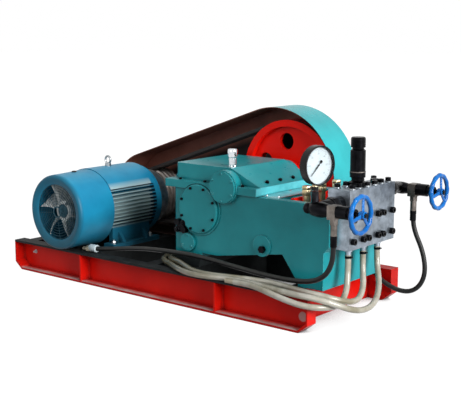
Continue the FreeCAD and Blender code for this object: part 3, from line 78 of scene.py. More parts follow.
# %% Colours and nodes
def linear(colour):
    """Turns an sRGB hex value into the linear colour that a shader takes."""
    parts = [int(colour[i:i + 2], 16) / 255 for i in (1, 3, 5)]
    return [v / 12.92 if v <= 0.04045 else ((v + 0.055) / 1.055) ** 2.4 for v in parts] + [1]


def scale_of(millimetres):
    """A texture's scale for features of this size, since one unit is a metre."""
    return 1000 / millimetres


def tune(node, values):
    """Gives a node its values: a colour, a number, a property, or a socket or node to link."""
    for name, value in values.items():
        if isinstance(value, str) and value.startswith("#"):
            value = linear(value)
        if isinstance(value, bpy.types.Node):
            value = value.outputs[0]
        if isinstance(value, bpy.types.NodeSocket):
            node.id_data.links.new(value, node.inputs[name])
        elif isinstance(name, int) or name in node.inputs:
            node.inputs[name].default_value = value
        else:
            setattr(node, name, value)


def add_node(tree, kind, values={}):
    """Adds one shader node to a tree, with its mode, as in Math ADD, its settings and links."""
    kind, *modes = kind.split()
    node = tree.nodes.new("ShaderNode" + kind)
    for mode in modes:
        setattr(node, "data_type" if kind == "Mix" else "operation", mode)
    tune(node, values)
    return node


def new_material(name):
    """An empty material, what adds a node to it, its shader and the object's coordinates."""
    material = bpy.data.materials.new(name)
    material.use_nodes = True
    add = partial(add_node, material.node_tree)
    shader = material.node_tree.nodes["Principled BSDF"]
    return material, add, shader, add("TexCoord").outputs["Object"]


def region(add, *limits, most=1.0):
    """A mask from values: 0 where any is at its start, and its most where all are at full."""
    mask = None
    for value, start, full in limits:
        top = most if mask is None else 1.0
        ramp = add("MapRange", {"From Min": start, "From Max": full, "To Max": top,
                                "Value": value})
        mask = ramp if mask is None else add("Math MULTIPLY", {0: mask, 1: ramp})
    return mask


WHITE = (1, 1, 1, 1)
print("a card's teal in linear light:", [round(v, 3) for v in linear("#329fa2")[:3]])

# %% [markdown]
# ## Light and floor
# The machine stands in a hall with one big soft source high on the fluid end's side, so its near
# side is a third as bright as its end. A wide sun lamp gives that evenly over two metres. The
# world fills the shadows a little. Rays from the camera see plain white, and so do reflections.
# The floor is white paper to both. It bounces light as dark concrete does, and where little sky
# reaches it, in the bays under the machine, it falls to the shade that a hall floor has there.

# %% Light and floor
def softbox(name, towards, strength, spread):
    """A sun lamp that shines from a direction, with a spread in degrees."""
    data = bpy.data.lights.new(name, "SUN")
    data.energy = strength
    data.angle = math.radians(spread)
    lamp = bpy.data.objects.new(name, data)
    lamp.rotation_euler = Vector(towards).to_track_quat("Z", "Y").to_euler()
    bpy.context.scene.collection.objects.link(lamp)


def any_ray(add, first, *others):
    """A mask for rays of any of the named kinds."""
    path = add("LightPath").outputs
    mask = path[first]
    for kind in others:
        mask = add("Math MAXIMUM", {0: mask, 1: path[kind]})
    return mask


softbox("key_light", (0.95, -0.12, 0.36), 4.4, 34)
softbox("front_light", (-0.10, -0.88, 0.34), 0.66, 50)

world = bpy.data.worlds.new("studio")
world.use_nodes = True
bpy.context.scene.world = world
world.node_tree.nodes.clear()
add = partial(add_node, world.node_tree)
seen = any_ray(add, "Is Camera Ray", "Is Glossy Ray", "Is Transmission Ray")
fill = add("Background", {"Color": "#eef4f8", "Strength": 0.2})
white = add("Background", {"Color": WHITE, "Strength": 1.0})
mixed = add("MixShader", {0: seen, 1: fill, 2: white})
add("OutputWorld", {"Surface": mixed})

REACH = 40
corners = [(-REACH, -REACH, 0), (REACH, -REACH, 0), (REACH, REACH, 0), (-REACH, REACH, 0)]
floor_mesh = bpy.data.meshes.new("floor")
floor_mesh.from_pydata(corners, [], [(0, 1, 2, 3)])
floor = bpy.data.objects.new("floor", floor_mesh)
bpy.context.scene.collection.objects.link(floor)
sweep, add, shader, _ = new_material("white_paper_sweep")
tune(shader, {"Base Color": "#f4f4f4", "Roughness": 0.9})
sky = add("AmbientOcclusion", {"samples": 20, "Distance": 0.40}).outputs["AO"]
open_floor = region(add, (sky, 0.06, 0.3), most=0.88)
glow = add("Emission", {"Color": WHITE, "Strength": 1.12})
concrete = add("BsdfDiffuse", {"Color": "#5d5f60"})
lit = add("MixShader", {0: open_floor, 1: concrete, 2: shader})
paper = add("MixShader", {0: open_floor, 1: lit, 2: glow})
looked_at = any_ray(add, "Is Camera Ray", "Is Glossy Ray")
either = add("MixShader", {0: looked_at, 1: concrete, 2: paper})
tune(sweep.node_tree.nodes["Material Output"], {"Surface": either})
floor_mesh.materials.append(sweep)
print("floor", 2 * REACH, "m wide")

# %% [markdown]
# ## Hose rubber and clear PVC
# The three suction hoses are clear PVC, yellowed and dusty, so light goes a little way in and
# the walls look cream. Where they lie on the skid they are trodden on and darker. The two
# pressure hoses have a black synthetic rubber cover that was wrapped while it cured, which
# leaves it satin, with dust that greys its upper side. The wrap's weave is finer than a
# millimetre, and it is drawn at 2.5 mm so that it shows.

# %% Hose materials
def relief(add, shader, place, mm, detail, strength, depth, **under):
    """Fine bumps, of a size in millimetres, in the shader's normal. Gives back their pattern."""
    grain = add("TexNoise", {"Scale": scale_of(mm), "Detail": detail, "Vector": place})
    bumps = add("Bump", {"Strength": strength, "Distance": depth, "Height": grain, **under})
    tune(shader, {"Normal": bumps})
    return grain


clear_pvc, add, shader, place = new_material("aged_clear_pvc")
cloud = add("TexNoise", {"Scale": scale_of(90), "Detail": 3.0, "Vector": place})
tone = add("ValToRGB", {"Fac": cloud})
for stop, at, colour in zip(tone.color_ramp.elements, (0.35, 0.7), ("#958e76", "#d3d0c3")):
    stop.position = at
    stop.color = linear(colour)
along = add("SeparateXYZ", {0: place}).outputs["X"]
trodden = region(add, (along, 0.62, 0.10), most=0.82)
soiled = add("Mix RGBA", {7: "#6d674f", 0: trodden, 6: tone})
relief(add, shader, place, 14, 2.0, 0.25, 0.001)
tune(shader, {"Base Color": soiled.outputs[2], "Roughness": 0.26, "IOR": 1.52,
              "Transmission Weight": 0.22, "Coat Weight": 0.3})

cured_rubber, add, shader, place = new_material("wrapped_black_rubber")
normal = add("NewGeometry").outputs["Normal"]
height = add("SeparateXYZ", {0: normal}).outputs["Z"]
lint = add("TexNoise", {"Scale": scale_of(30), "Detail": 6.0, "Vector": place})
settled = add("Math MULTIPLY", {"use_clamp": True, 0: height, 1: lint})
tone = add("Mix RGBA", {6: "#131415", 7: "#4a4945", 0: settled})
relief(add, shader, place, 2.5, 2.0, 0.2, 0.0006)
tune(shader, {"Base Color": tone.outputs[2], "Roughness": 0.42, "IOR": 1.32})
print("hose materials", clear_pvc.name, cured_rubber.name)

# %% [markdown]
# ## Hoses
# A hose is one smooth line that leaves its fitting straight, sags, and then lies along the
# skid. A curve with a round bevel is that line with a wall, and a NURBS spline of order 3 keeps
# it free of kinks. Its control points are the route's own points.

# %% Hoses
def hose(name, solid, finish, slot, bore, route, length, end, **facts):
    """A hose as one NURBS spline by a listed route in millimetres, in place of a solid."""
    route = [tuple(v / 1000 for v in at) for at in route]
    curve = bpy.data.curves.new(name, "CURVE")
    curve.dimensions = "3D"
    curve.bevel_depth = bore / 2
    curve.bevel_resolution = 6
    curve.resolution_u = 10
    spline = curve.splines.new("NURBS")
    spline.points.add(len(route) - 1)
    for point, at in zip(spline.points, route):
        point.co = (*at, 1)
    spline.order_u = 3
    spline.use_endpoint_u = True
    curve.materials.append(finish)
    piece = bpy.data.objects.new(name, curve)
    bpy.context.scene.collection.objects.link(piece)
    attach(piece, "skid")
    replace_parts(piece, solid)
    print(name, len(route), "points,", length, "m")


hose("near_suction_line", "suction_hose_left", clear_pvc, "hose_amber", 0.024, [
    (890, -107, 276), (890, -107, 231), (895, -116, 185), (905, -137, 145), (914, -171, 118),
    (922, -215, 105), (928, -262, 107), (919, -307, 112), (889, -342, 115), (848, -361, 120),
    (799, -365, 127), (750, -363, 134), (701, -360, 142), (652, -353, 149), (602, -345, 153),
    (556, -342, 153), (512, -343, 153),
], 0.750, "suction_hose_ends")
hose("middle_suction_line", "suction_hose_middle", clear_pvc, "hose_amber", 0.024, [
    (890, 0, 276), (890, 0, 229), (900, -12, 182), (921, -41, 144), (938, -84, 120),
    (950, -130, 110), (955, -178, 113), (949, -224, 125), (926, -265, 139), (888, -291, 151),
    (838, -298, 154), (782, -289, 153), (724, -275, 153), (661, -265, 153), (598, -264, 153),
    (536, -273, 153), (478, -287, 153), (424, -301, 153), (368, -314, 153), (311, -317, 153),
    (254, -306, 154), (197, -281, 157), (143, -254, 161), (92, -236, 162), (48, -214, 160),
    (20, -177, 156), (12, -133, 154),
], 1.397, "suction_hose_ends")
hose("far_suction_line", "suction_hose_right", clear_pvc, "hose_amber", 0.024, [
    (890, 107, 276), (890, 107, 229), (904, 92, 183), (933, 58, 143), (960, 6, 110),
    (981, -54, 89), (993, -117, 82), (993, -180, 86), (981, -237, 102), (959, -284, 124),
    (926, -322, 142), (880, -343, 151), (830, -346, 152), (776, -342, 152), (720, -337, 153),
    (664, -329, 153), (606, -319, 153), (550, -314, 153), (494, -314, 153), (438, -324, 153),
    (384, -339, 153), (327, -350, 153), (266, -348, 153), (206, -328, 153), (150, -300, 153),
    (98, -272, 153), (48, -247, 153), (8, -216, 153), (-14, -172, 153), (-18, -126, 153),
], 1.640, "suction_hose_ends")
hose("left_pressure_line", "left_pressure_hose", cured_rubber, "hose_black", 0.020, [
    (942.5, -290, 384), (942.5, -290, 335), (937, -289, 286), (915, -285, 241), (876, -279, 209),
    (826, -272, 191), (768, -264, 181), (704, -257, 176), (634, -252, 175), (560, -248, 177),
    (482, -244, 181), (402, -241, 186), (322, -238, 192), (242, -236, 196), (166, -233, 197),
    (98, -229, 194), (38, -227, 191), (-16, -232, 190), (-68, -243, 189), (-120, -256, 186),
    (-175, -268, 180), (-231, -279, 173), (-286, -288, 166), (-338, -291, 160.5),
], 1.426, "left_hose_end")
hose("right_pressure_line", "right_pressure_hose", cured_rubber, "hose_black", 0.020, [
    (942.5, 300, 398), (942.5, 300, 352), (957, 300, 304), (984, 299, 254), (1001, 298, 206),
    (1009, 295, 158), (1003, 292, 116), (982, 287, 80), (948, 281, 59), (907, 272, 58),
    (868, 264, 71), (829, 257, 91), (792, 251, 126), (760, 247, 149), (722, 245, 154),
], 0.631, "right_hose_end", stiffness="limp")

# %% [markdown]
# ## Sprayed enamels
# The skid, motor, casting, pulley and handwheels are iron or steel under gloss alkyd enamel.
# The castings were filled and sprayed, so the paint has a soft orange peel and drifts in tone
# over a hand's width. Paint is thin at corners, where metal or primer shows; on the teal
# casting the corner colour is a pale teal instead, a painted highlight along its edges. Dust
# settles on what faces up. The grooves and the joints, which an ambient occlusion node finds,
# are laid near black, oily dirt and painted shade together. The bevel node softens the solids'
# sharp edges so that they catch light. Real orange peel is 1 to 2 mm across, and it is drawn
# at 4 mm so that it shows.

# %% Sprayed enamels
# Near black for oily dirt and for the painted shade in grooves and joints.
DIRT_AND_SHADE = "#0c0f10"


def enamel(name, colour, deep, worn_and_lit, grime, gloss=0.3, round_mm=1.6, wear_and_highlight=0.4, dust=0.5,
           crevice_dirt_and_shade=0.8, ior=1.36):
    """Gloss enamel over iron: tone drift, orange peel, worn corners (a painted highlight where
    their colour is pale), dust above, and dirt with painted shade in the joints.
    """
    material, add, shader, place = new_material(name)
    normal = add("NewGeometry").outputs["Normal"]
    upward = add("SeparateXYZ", {0: normal}).outputs["Z"]
    drift = add("TexNoise", {"Scale": scale_of(160), "Detail": 4.0, "Vector": place})
    drifted = region(add, (drift, 0.3, 0.7))
    paint = add("Mix RGBA", {6: deep, 7: colour, 0: drifted})
    rounded = add("Bevel", {"samples": 4, "Radius": round_mm / 1000})
    facing = add("VectorMath DOT_PRODUCT", {0: rounded, 1: normal})
    flaking = add("TexNoise", {"Scale": scale_of(22), "Detail": 6.0, "Vector": place})
    # Corners where the bevel normal turns away take the edge colour: wear, and where that colour is
    # pale, a painted highlight.
    corner = (facing.outputs["Value"], 0.995, 0.86)
    bare_and_lit_edge = region(add, corner, (flaking, 0.42, 0.62), most=wear_and_highlight)
    settled = add("TexNoise", {"Scale": scale_of(55), "Detail": 8.0, "Roughness": 0.65,
                               "Vector": place})
    film = region(add, (upward, 0.75, 0.98), (settled, 0.35, 0.6), most=dust)
    # Oily dirt and painted shade: an ambient occlusion mask lays near black in grooves and joints.
    hollow = add("AmbientOcclusion", {"samples": 5, "Distance": 0.03}).outputs["AO"]
    joint_dirt_and_shade = region(add, (hollow, 0.72, 0.28), most=crevice_dirt_and_shade)
    for mask, over in ((bare_and_lit_edge, worn_and_lit), (film, grime), (joint_dirt_and_shade, DIRT_AND_SHADE)):
        paint = add("Mix RGBA", {7: over, 0: mask, 6: paint.outputs[2]})
    matt = add("MapRange", {"To Min": gloss, "To Max": min(gloss + 0.4, 1), "Value": film})
    relief(add, shader, place, 4, 2.0, 0.12, 0.0005, Normal=rounded)
    tune(shader, {"Base Color": paint.outputs[2], "Roughness": matt, "IOR": ior})
    return material


def overlay(material, mask, pattern, dark, light, rough):
    """Lays two tones, mixed by a pattern, and a roughness over a material where the mask is 1."""
    add = partial(add_node, material.node_tree)
    shader = material.node_tree.nodes["Principled BSDF"]
    colour, gloss = [shader.inputs[name].links[0].from_socket
                     for name in ("Base Color", "Roughness")]
    tones = add("Mix RGBA", {6: dark, 7: light, 0: pattern})
    covered = add("Mix RGBA", {0: mask, 6: colour, 7: tones.outputs[2]})
    duller = add("Mix FLOAT", {3: rough, 0: mask, 2: gloss})
    tune(shader, {"Base Color": covered.outputs[2], "Roughness": duller})


skid_paint = enamel("red_enamel_on_channel", "#df1c10", "#cb130b", "#5d1410", "#a32a20",
                    gloss=0.36, dust=0.4, ior=1.22)
grille_paint = enamel("dark_enamel_on_wire", "#1d4c5c", "#163c49", "#5e7c86", "#2d4a54",
                      gloss=0.5, round_mm=0.3)
pulley_paint = enamel("red_enamel_on_iron", "#ff1c0e", "#fa160a", "#a34a3a", "#c8281d",
                      gloss=0.26, dust=0.2, crevice_dirt_and_shade=0.3, ior=1.22)
motor_paint = enamel("blue_enamel_on_cast_iron", "#1f8fb6", "#187aa0", "#7fb9cc", "#5fa3b8",
                     gloss=0.32, dust=0.35, crevice_dirt_and_shade=0.97, ior=1.28)
# Painted highlight: the pale teal edge colour at a high share lights the casting's edges, over
# their wear.
cast_paint = enamel("teal_enamel_on_cast_iron", "#249ba3", "#198990", "#86dde0", "#3f8f90",
                    gloss=0.26, dust=0.3, round_mm=3, wear_and_highlight=0.85, ior=1.3)
wheel_paint = enamel("blue_enamel_on_handwheel", "#0074c8", "#0059a8", "#16356e", "#2a62b8",
                     gloss=0.14, dust=0.05, crevice_dirt_and_shade=0.6, ior=1.32)
guard_paint = enamel("teal_enamel_on_guard_sheet", "#2fb0b6", "#249ca2", "#8fd3d8", "#58a9ac",
                     gloss=0.25, dust=0.15, crevice_dirt_and_shade=0.3, ior=1.3)
print("enamels", skid_paint.name, pulley_paint.name, motor_paint.name, cast_paint.name)

# %% [markdown]
# ## Oil, painted shade and dust on the skid
# Work over the motor end leaves the channel's top black with oil and dust, up to the last
# handbreadth, which is clean red. The inside of the skid is laid black too, oil and painted
# shade together. A pale pink-grey on the lower flange is a thin dust and a painted highlight on
# its upward face, and a worn patch near the pump end is down to dull primer. The masks use the
# height, the side and the direction of each face, and a noise frays their edges.

# %% Oil, painted shade and dust on the skid
FRAY = 0.16
BLACK_END = 0.755 + FRAY / 2


def surface_of(material):
    """What adds a finished material's nodes, and its object coordinates, whole and apart."""
    add = partial(add_node, material.node_tree)
    spot = add("TexCoord").outputs["Object"]
    return add, spot, add("SeparateXYZ", {0: spot}).outputs


add, spot, where = surface_of(skid_paint)
normal = add("NewGeometry").outputs["Normal"]
upward = add("SeparateXYZ", {0: normal}).outputs["Z"]
frayed = add("TexNoise", {"Scale": scale_of(70), "Detail": 6.0, "Roughness": 0.6, "Vector": spot})
along = add("Math MULTIPLY_ADD", {1: FRAY, 0: frayed, 2: where["X"]})
inward = add("Math ABSOLUTE", {0: where["Y"]})
on_top = region(add, (where["Z"], 0.1285, 0.1315))
inside = region(add, (inward, 0.284, 0.280))
dark_inside_end = region(add, (where["X"], 0.735, 0.72))
masks = [add("Math MAXIMUM", {0: on_top, 1: mask})
         for mask in (inside, dark_inside_end)]
# Oil and painted shade: the tops and the inside faces are laid near black up to the clean end.
oil_and_shade = region(add, (along, BLACK_END + 0.01, BLACK_END - 0.01), *[(mask, 0, 1) for mask in masks])
smears = add("TexNoise", {"Scale": scale_of(90), "Detail": 8.0, "Roughness": 0.7, "Vector": spot})
spread = region(add, (smears, 0.35, 0.75))
overlay(skid_paint, oil_and_shade, spread, "#0d0f10", "#2b2f30", 0.62)

# Dust and painted highlight: the lower flange's upward face is laid pale pink-grey.
ledge = region(add, (where["Z"], 0.016, 0.008), (upward, 0.5, 0.9), (inward, 0.296, 0.326))
laid = add("Math MULTIPLY", {1: 2.6, 0: smears})
dust_and_highlight = add("Math MULTIPLY", {"use_clamp": True, 0: ledge, 1: laid})
overlay(skid_paint, dust_and_highlight, spread, "#b98f8a", "#dccbc8", 0.8)

PATCH = (0.804, -0.283, 0.050)
away = add("VectorMath DISTANCE", {1: PATCH, 0: spot}).outputs["Value"]
ragged = add("Math MULTIPLY_ADD", {1: 0.02, 0: smears, 2: away})
scuffed = region(add, (ragged, 0.032, 0.028), most=0.75)
overlay(skid_paint, scuffed, spread, "#b98f8a", "#dccbc8", 0.7)
print("oil ends near x =", round(BLACK_END - FRAY / 2, 3), "m")

# %% [markdown]
# ## Painted shade and dust on the motor
# The lower half of the motor and the front ring of its cowl are laid a darker blue, a painted
# shade. The fins' tips are paler and duller, dust and a painted highlight on their edges. All
# are laid over the blue enamel by the height, the distance from the shaft and the place along it.

# %% Painted shade and dust on the motor
MOTOR_X, MOTOR_Z = -0.505, 0.320
SHADE_TOP, SHADE_FULL = 0.33, 0.17

add, spot, where = surface_of(motor_paint)
motor_noise = add("TexNoise", {"Scale": scale_of(120), "Detail": 6.0, "Vector": spot})
height = add("Math MULTIPLY_ADD", {1: FRAY, 0: motor_noise, 2: where["Z"]})
# Painted shade: the lower half of the motor is laid a darker blue.
lower_shade = region(add, (height, SHADE_TOP + FRAY / 2, SHADE_FULL + FRAY / 2), most=0.72)
overlay(motor_paint, lower_shade, motor_noise, "#163b47", "#235260", 0.5)
# Painted shade on the cowl's dished front ring.
front_ring_shade = region(add, (where["Y"], -0.360, -0.378), most=0.6)
overlay(motor_paint, front_ring_shade, motor_noise, "#163b47", "#235260", 0.45)
aside = add("Math ADD", {1: -MOTOR_X, 0: where["X"]})
fin_reach = add("Math ABSOLUTE", {0: aside})
fin_ends = (where["Y"], -0.1795, -0.1780), (where["Y"], 0.090, 0.084)
# Dust and painted highlight: the fins' tips are laid pale grey and duller.
fin_dust_and_highlight = region(add, (fin_reach, 0.132, 0.150), (where["Z"], 0.222, 0.232), *fin_ends, most=0.8)
overlay(motor_paint, fin_dust_and_highlight, motor_noise, "#9fb8b9", "#b7cac9", 0.6)
print("motor grime starts near z =", SHADE_TOP, "m")

# %% [markdown]
# ## Painted highlight on the cover flange and painted shade on the foot
# The pump end of the cover flange is laid a pale, glossier teal, a painted highlight. The foot
# at the motor end is laid near black below the casting's belly, a painted shade.

# %% Painted highlight on the cover flange and painted shade on the foot
FLANGE_EDGE, BELLY = 0.5165, 0.192

add, spot, where = surface_of(cast_paint)
cover_noise = add("TexNoise", {"Scale": scale_of(40), "Detail": 5.0, "Vector": spot})
# Painted highlight: the flange's pump end is laid pale teal and glossy.
flange_highlight = region(add, (where["X"], FLANGE_EDGE, 0.5180), (where["Z"], 0.474, 0.484))
overlay(cast_paint, flange_highlight, cover_noise, "#2fa3ae", "#74d6df", 0.2)
# Painted shade: the foot below the belly at the motor end is laid near black.
foot_shade = region(add, (where["X"], 0.45, 0.40), (where["Z"], BELLY, 0.180))
overlay(cast_paint, foot_shade, cover_noise, "#0b1112", "#20282a", 0.6)
print("rubbed from x =", FLANGE_EDGE, "m, oil under z =", BELLY, "m")

# %% [markdown]
# ## Inside of the guard
# The belt guard is one band of sheet steel, teal outside. Inside it is brown with rubber dust,
# and below the belts' line it is nearly black, rubber dust and painted shade from the belts
# together. The same sheet has both, so the material tells the sides apart: a face that looks
# toward the line between the two shafts is an inside face.

# %% Inside of the guard
MOTOR_AXIS = Vector((MOTOR_X, 0, MOTOR_Z))
ROUND_AXIS = Vector((0.288, 0, 0.479))
line = ROUND_AXIS - MOTOR_AXIS
per_length = line / line.length_squared
OUTER_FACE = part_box("guard_back")[1].y - 0.001
ACROSS_BELT = (-0.34, 0, 1)

add, spot, where = surface_of(guard_paint)
flat = add("VectorMath MULTIPLY", {1: (1, 0, 1), 0: spot})
offset = add("VectorMath SUBTRACT", {1: MOTOR_AXIS, 0: flat})
share = add("VectorMath DOT_PRODUCT", {1: per_length, 0: offset})
clamped = add("Clamp", {"Value": share.outputs["Value"]})
foot = add("VectorMath SCALE", {0: line, "Scale": clamped})
outward = add("VectorMath SUBTRACT", {0: offset, 1: foot})
normal = add("NewGeometry").outputs["Normal"]
side = add("VectorMath DOT_PRODUCT", {0: outward, 1: normal})
inner = add("Math LESS_THAN", {1: 0.02, 0: side.outputs["Value"]})
front = add("Math LESS_THAN", {1: OUTER_FACE, 0: where["Y"]})
height = add("VectorMath DOT_PRODUCT", {1: ACROSS_BELT, 0: spot})
soot = add("TexNoise", {"Scale": scale_of(120), "Detail": 5.0, "Vector": spot})
sooty = region(add, (inner, 0, 1), (front, 0, 1))
overlay(guard_paint, sooty, soot, "#6a4236", "#a8695a", 0.55)
# Dust and painted shade: below the belts' line the inside is laid nearly black.
dust_and_belt_shade = region(add, (sooty, 0, 1), (height.outputs["Value"], 0.640, 0.600))
overlay(guard_paint, dust_and_belt_shade, soot, "#1b1311", "#38241f", 0.55)
print("guard line is", round(line.length, 3), "m long")

# %% [markdown]
# ## Bare and blackened metals
# The valve head is ground steel with fine marks across it and light handling rust. Screws and
# valve bodies are blackened steel, still oily. Gland nuts are turned brass, the plungers and
# the breather are plated. A metal's colour is its reflection, so these have a full metallic
# value and differ in tint, roughness and marks. The dull fittings and the cast fan are under
# dust and oxide, so they have less of it or none. Tool marks are a tenth of a millimetre wide,
# and they are drawn at 3 to 20 mm so that they show.

# %% Bare and blackened metals
def metal(name, colour, dark, rough, marks, stretch=(1, 1, 1), metallic=1.0):
    """Metal with directional tool marks, a stained tone and softened corners."""
    material, add, shader, place = new_material(name)
    stain = add("TexNoise", {"Scale": scale_of(35), "Detail": 7.0, "Roughness": 0.6,
                             "Vector": place})
    tone = add("Mix RGBA", {6: dark, 7: colour, 0: region(add, (stain, 0.3, 0.7))})
    grain = add("Mapping", {"Scale": stretch, "Vector": place})
    edge = add("Bevel", {"samples": 4, "Radius": 0.0008})
    lines = relief(add, shader, grain, marks, 3.0, 0.35, 0.00015, Normal=edge)
    finish = add("MapRange", {"To Min": rough - 0.08, "To Max": rough + 0.12, "Value": lines})
    tune(shader, {"Base Color": tone.outputs[2], "Roughness": finish, "Metallic": metallic})
    return material


ground_steel = metal("ground_steel", "#a8b3bf", "#6f777f", 0.36, 3, (1, 1, 12))
black_steel = metal("blackened_steel", "#1d1d20", "#0c0c0e", 0.30, 4)
turned_brass = metal("turned_brass", "#d9c8a4", "#a8936c", 0.3, 3, (12, 1, 1))
polished_iron = metal("belt_polished_iron", "#d6d0cb", "#8d837c", 0.34, 3, (1, 14, 1))
stained_steel = metal("stained_steel", "#88807a", "#4e4944", 0.42, 4)
dusty_zinc = metal("dusty_zinc_fitting", "#b4ac98", "#7f7866", 0.55, 5, metallic=0.5)
chrome_plate = metal("polished_plate", "#e9edf0", "#c6ccd0", 0.12, 20)
cast_aluminium = metal("cast_aluminium", "#f6f8f7", "#c9cfcc", 0.55, 5, metallic=0.0)
zinc_plate = metal("zinc_plated_steel", "#c9cdcf", "#80868a", 0.3, 6)
rolled_sheet = metal("rolled_steel_sheet", "#cfe6e8", "#a5c9cd", 0.3, 12, (1, 6, 1))
print("metals", ground_steel.name, black_steel.name, turned_brass.name)

# %% [markdown]
# ## Rubber, lacquer, dial and glass
# V-belts are moulded rubber on a woven jacket, dull and dusty. The gauge has a pressed case in
# black lacquer, a white painted dial with printed ink and a float glass front. All of them
# drift a little in tone, which keeps them from looking like plain plastic. The belts' cloth is
# drawn at 1.5 mm, twice its weave.

# %% Rubber, lacquer, dial and glass
def mottled(name, mm, detail, dark, light, rough):
    """A material whose tone drifts between two colours over a size in millimetres."""
    material, add, shader, place = new_material(name)
    pattern = add("TexNoise", {"Scale": scale_of(mm), "Detail": detail, "Vector": place})
    tone = add("Mix RGBA", {6: dark, 7: light, 0: pattern})
    tune(shader, {"Base Color": tone.outputs[2], "Roughness": rough})
    return material, add, shader, place, pattern


dial_enamel = mottled("white_painted_dial", 9, 4.0, "#bccacf", "#cfdbdf", 0.5)[0]
printed_ink = mottled("printed_dial_ink", 12, 3.0, "#5d666b", "#8a9296", 0.6)[0]
belt_rubber, add, shader, place, _ = mottled(
    "moulded_belt_rubber", 40, 7.0, "#141211", "#352c29", 0.7)
relief(add, shader, place, 1.5, 1.0, 0.3, 0.0004)

case_lacquer, add, shader, _, smear = mottled(
    "black_lacquered_steel", 25, 5.0, "#030304", "#0c0d0f", 0.3)
haze = add("MapRange", {"To Min": 0.18, "To Max": 0.4, "Value": smear})
tune(shader, {"Roughness": haze, "IOR": 1.3})

float_glass, add, shader, place = new_material("float_glass")
smudge = add("TexNoise", {"Scale": scale_of(18), "Detail": 4.0, "Vector": place})
haze = add("MapRange", {"To Min": 0.01, "To Max": 0.08, "Value": smudge})
tune(shader, {"Base Color": WHITE, "Roughness": haze, "IOR": 1.2, "Transmission Weight": 1.0,
              "Alpha": 0.15})
print("soft materials", belt_rubber.name, case_lacquer.name, dial_enamel.name, float_glass.name)

# %% [markdown]
# ## Finishes on the solids
# Each solid keeps its shape and takes the finish of what it is made of.

# %% Finishes on the solids
FINISHES = {
    skid_paint: "near_rail far_rail left_end_beam motor_beam_left motor_beam_right middle_beam "
                "pump_beam_left pump_beam_right",
    motor_paint: "motor_frame motor_end_shield motor_fan_cover terminal_box",
    cast_paint: "pump_frame crankcase_cover side_covers",
    guard_paint: "guard_rim guard_back",
    pulley_paint: "drive_pulley guard_bracket gland_yokes",
    wheel_paint: "left_handwheel right_handwheel",
    black_steel: "oil_plugs relief_valve relief_cap left_adaptor left_valve right_adaptor "
                 "right_valve",
    polished_iron: "motor_pulley",
    dusty_zinc: "suction_hose_ends left_hose_end right_hose_end",
    ground_steel: "motor_shaft pinion_shaft fluid_block valve_head suction_stubs",
    stained_steel: "left_outlet right_outlet",
    cast_aluminium: "motor_fan",
    rolled_sheet: "splash_plate",
    zinc_plate: "lifting_eye",
    chrome_plate: "plungers breather",
    turned_brass: "gland_nuts grease_cups",
    belt_rubber: "drive_belts",
    case_lacquer: "gauge_case gauge_needle",
    dial_enamel: "gauge_dial",
    float_glass: "gauge_glass",
}
done = set()
for finish, names in FINISHES.items():
    for name in names.split():
        slots = nodes[name].data.materials
        if len(slots) == 0:
            slots.append(finish)
        for index in range(len(slots)):
            slots[index] = finish
        done.add(name)
left = sorted(name for name in nodes if name not in done and not nodes[name].hide_render)
print("nodes with a finish", len(done), "left", left)

# %% [markdown]
# ## Turned and hexagonal small parts
# Screws, nuts, collars and knobs are all stacks of rings along an axis: a round or six-sided
# outline at each height. One function lofts such stacks, so a screw head gets its chamfer and
# its socket, and many screws make one piece. A stack that ends on its first ring is a hollow
# ring, such as a bezel. Rings are in millimetres and places in metres. A second function runs a
# bar through points. A finish and the record's slot for it go together in a pair.

# %% Turned and hexagonal small parts
MM = 0.001
UP, DOWN = Vector((0, 0, 1)), Vector((0, 0, -1))
NEAR, FAR = Vector((0, -1, 0)), Vector((0, 1, 0))
AHEAD, BACK = Vector((1, 0, 0)), Vector((-1, 0, 0))


def skin(shape, loops, closed=False):
    """Faces from loop to loop, with caps on the ends or, if closed, from the last to the first."""
    for low, high in zip(loops, loops[1:] + loops[:1] if closed else loops[1:]):
        for step in range(len(low)):
            after = (step + 1) % len(low)
            shape.faces.new((low[step], low[after], high[after], high[step]))
    if not closed:
        shape.faces.new(list(reversed(loops[0])))
        shape.faces.new(loops[-1])


def loft(shape, at, direction, rings, around=24):
    """Adds a stack of rings: (radius, height), or (radius, height, sides) for a flat-sided one."""
    turned = UP.rotation_difference(Vector(direction)).to_matrix().to_4x4()
    whole = Matrix.Translation(Vector(at)) @ turned
    hollow = rings[0] == rings[-1]
    loops = []
    for radius, height, *sides in rings[:-1] if hollow else rings:
        loop = []
        for step in range(around):
            turn = 2 * math.pi * step / around
            reach = radius * MM
            if sides:
                half = math.pi / sides[0]
                reach *= math.cos(half) / math.cos(turn % (2 * half) - half)
            place = Vector((reach * math.cos(turn), reach * math.sin(turn), height * MM))
            loop.append(shape.verts.new(whole @ place))
        loops.append(loop)
    skin(shape, loops, closed=hollow)


def oval(shape, at, across, upright, wide, tall, around):
    """A loop of corners about a point, with half-sizes along two directions."""
    turns = [2 * math.pi * step / around for step in range(around)]
    return [shape.verts.new(at + across * wide * math.cos(t) + upright * tall * math.sin(t))
            for t in turns]


def run_bar(shape, points, radii, around):
    """Adds a bar through points, with half-sizes across and up at each point."""
    loops = []
    for index, at in enumerate(points):
        ahead = points[min(index + 1, len(points) - 1)] - points[max(index - 1, 0)]
        ahead.normalize()
        across = ahead.cross(UP if abs(ahead.z) < 0.95 else AHEAD).normalized()
        loops.append(oval(shape, at, across, across.cross(ahead), *radii[index], around))
    skin(shape, loops)


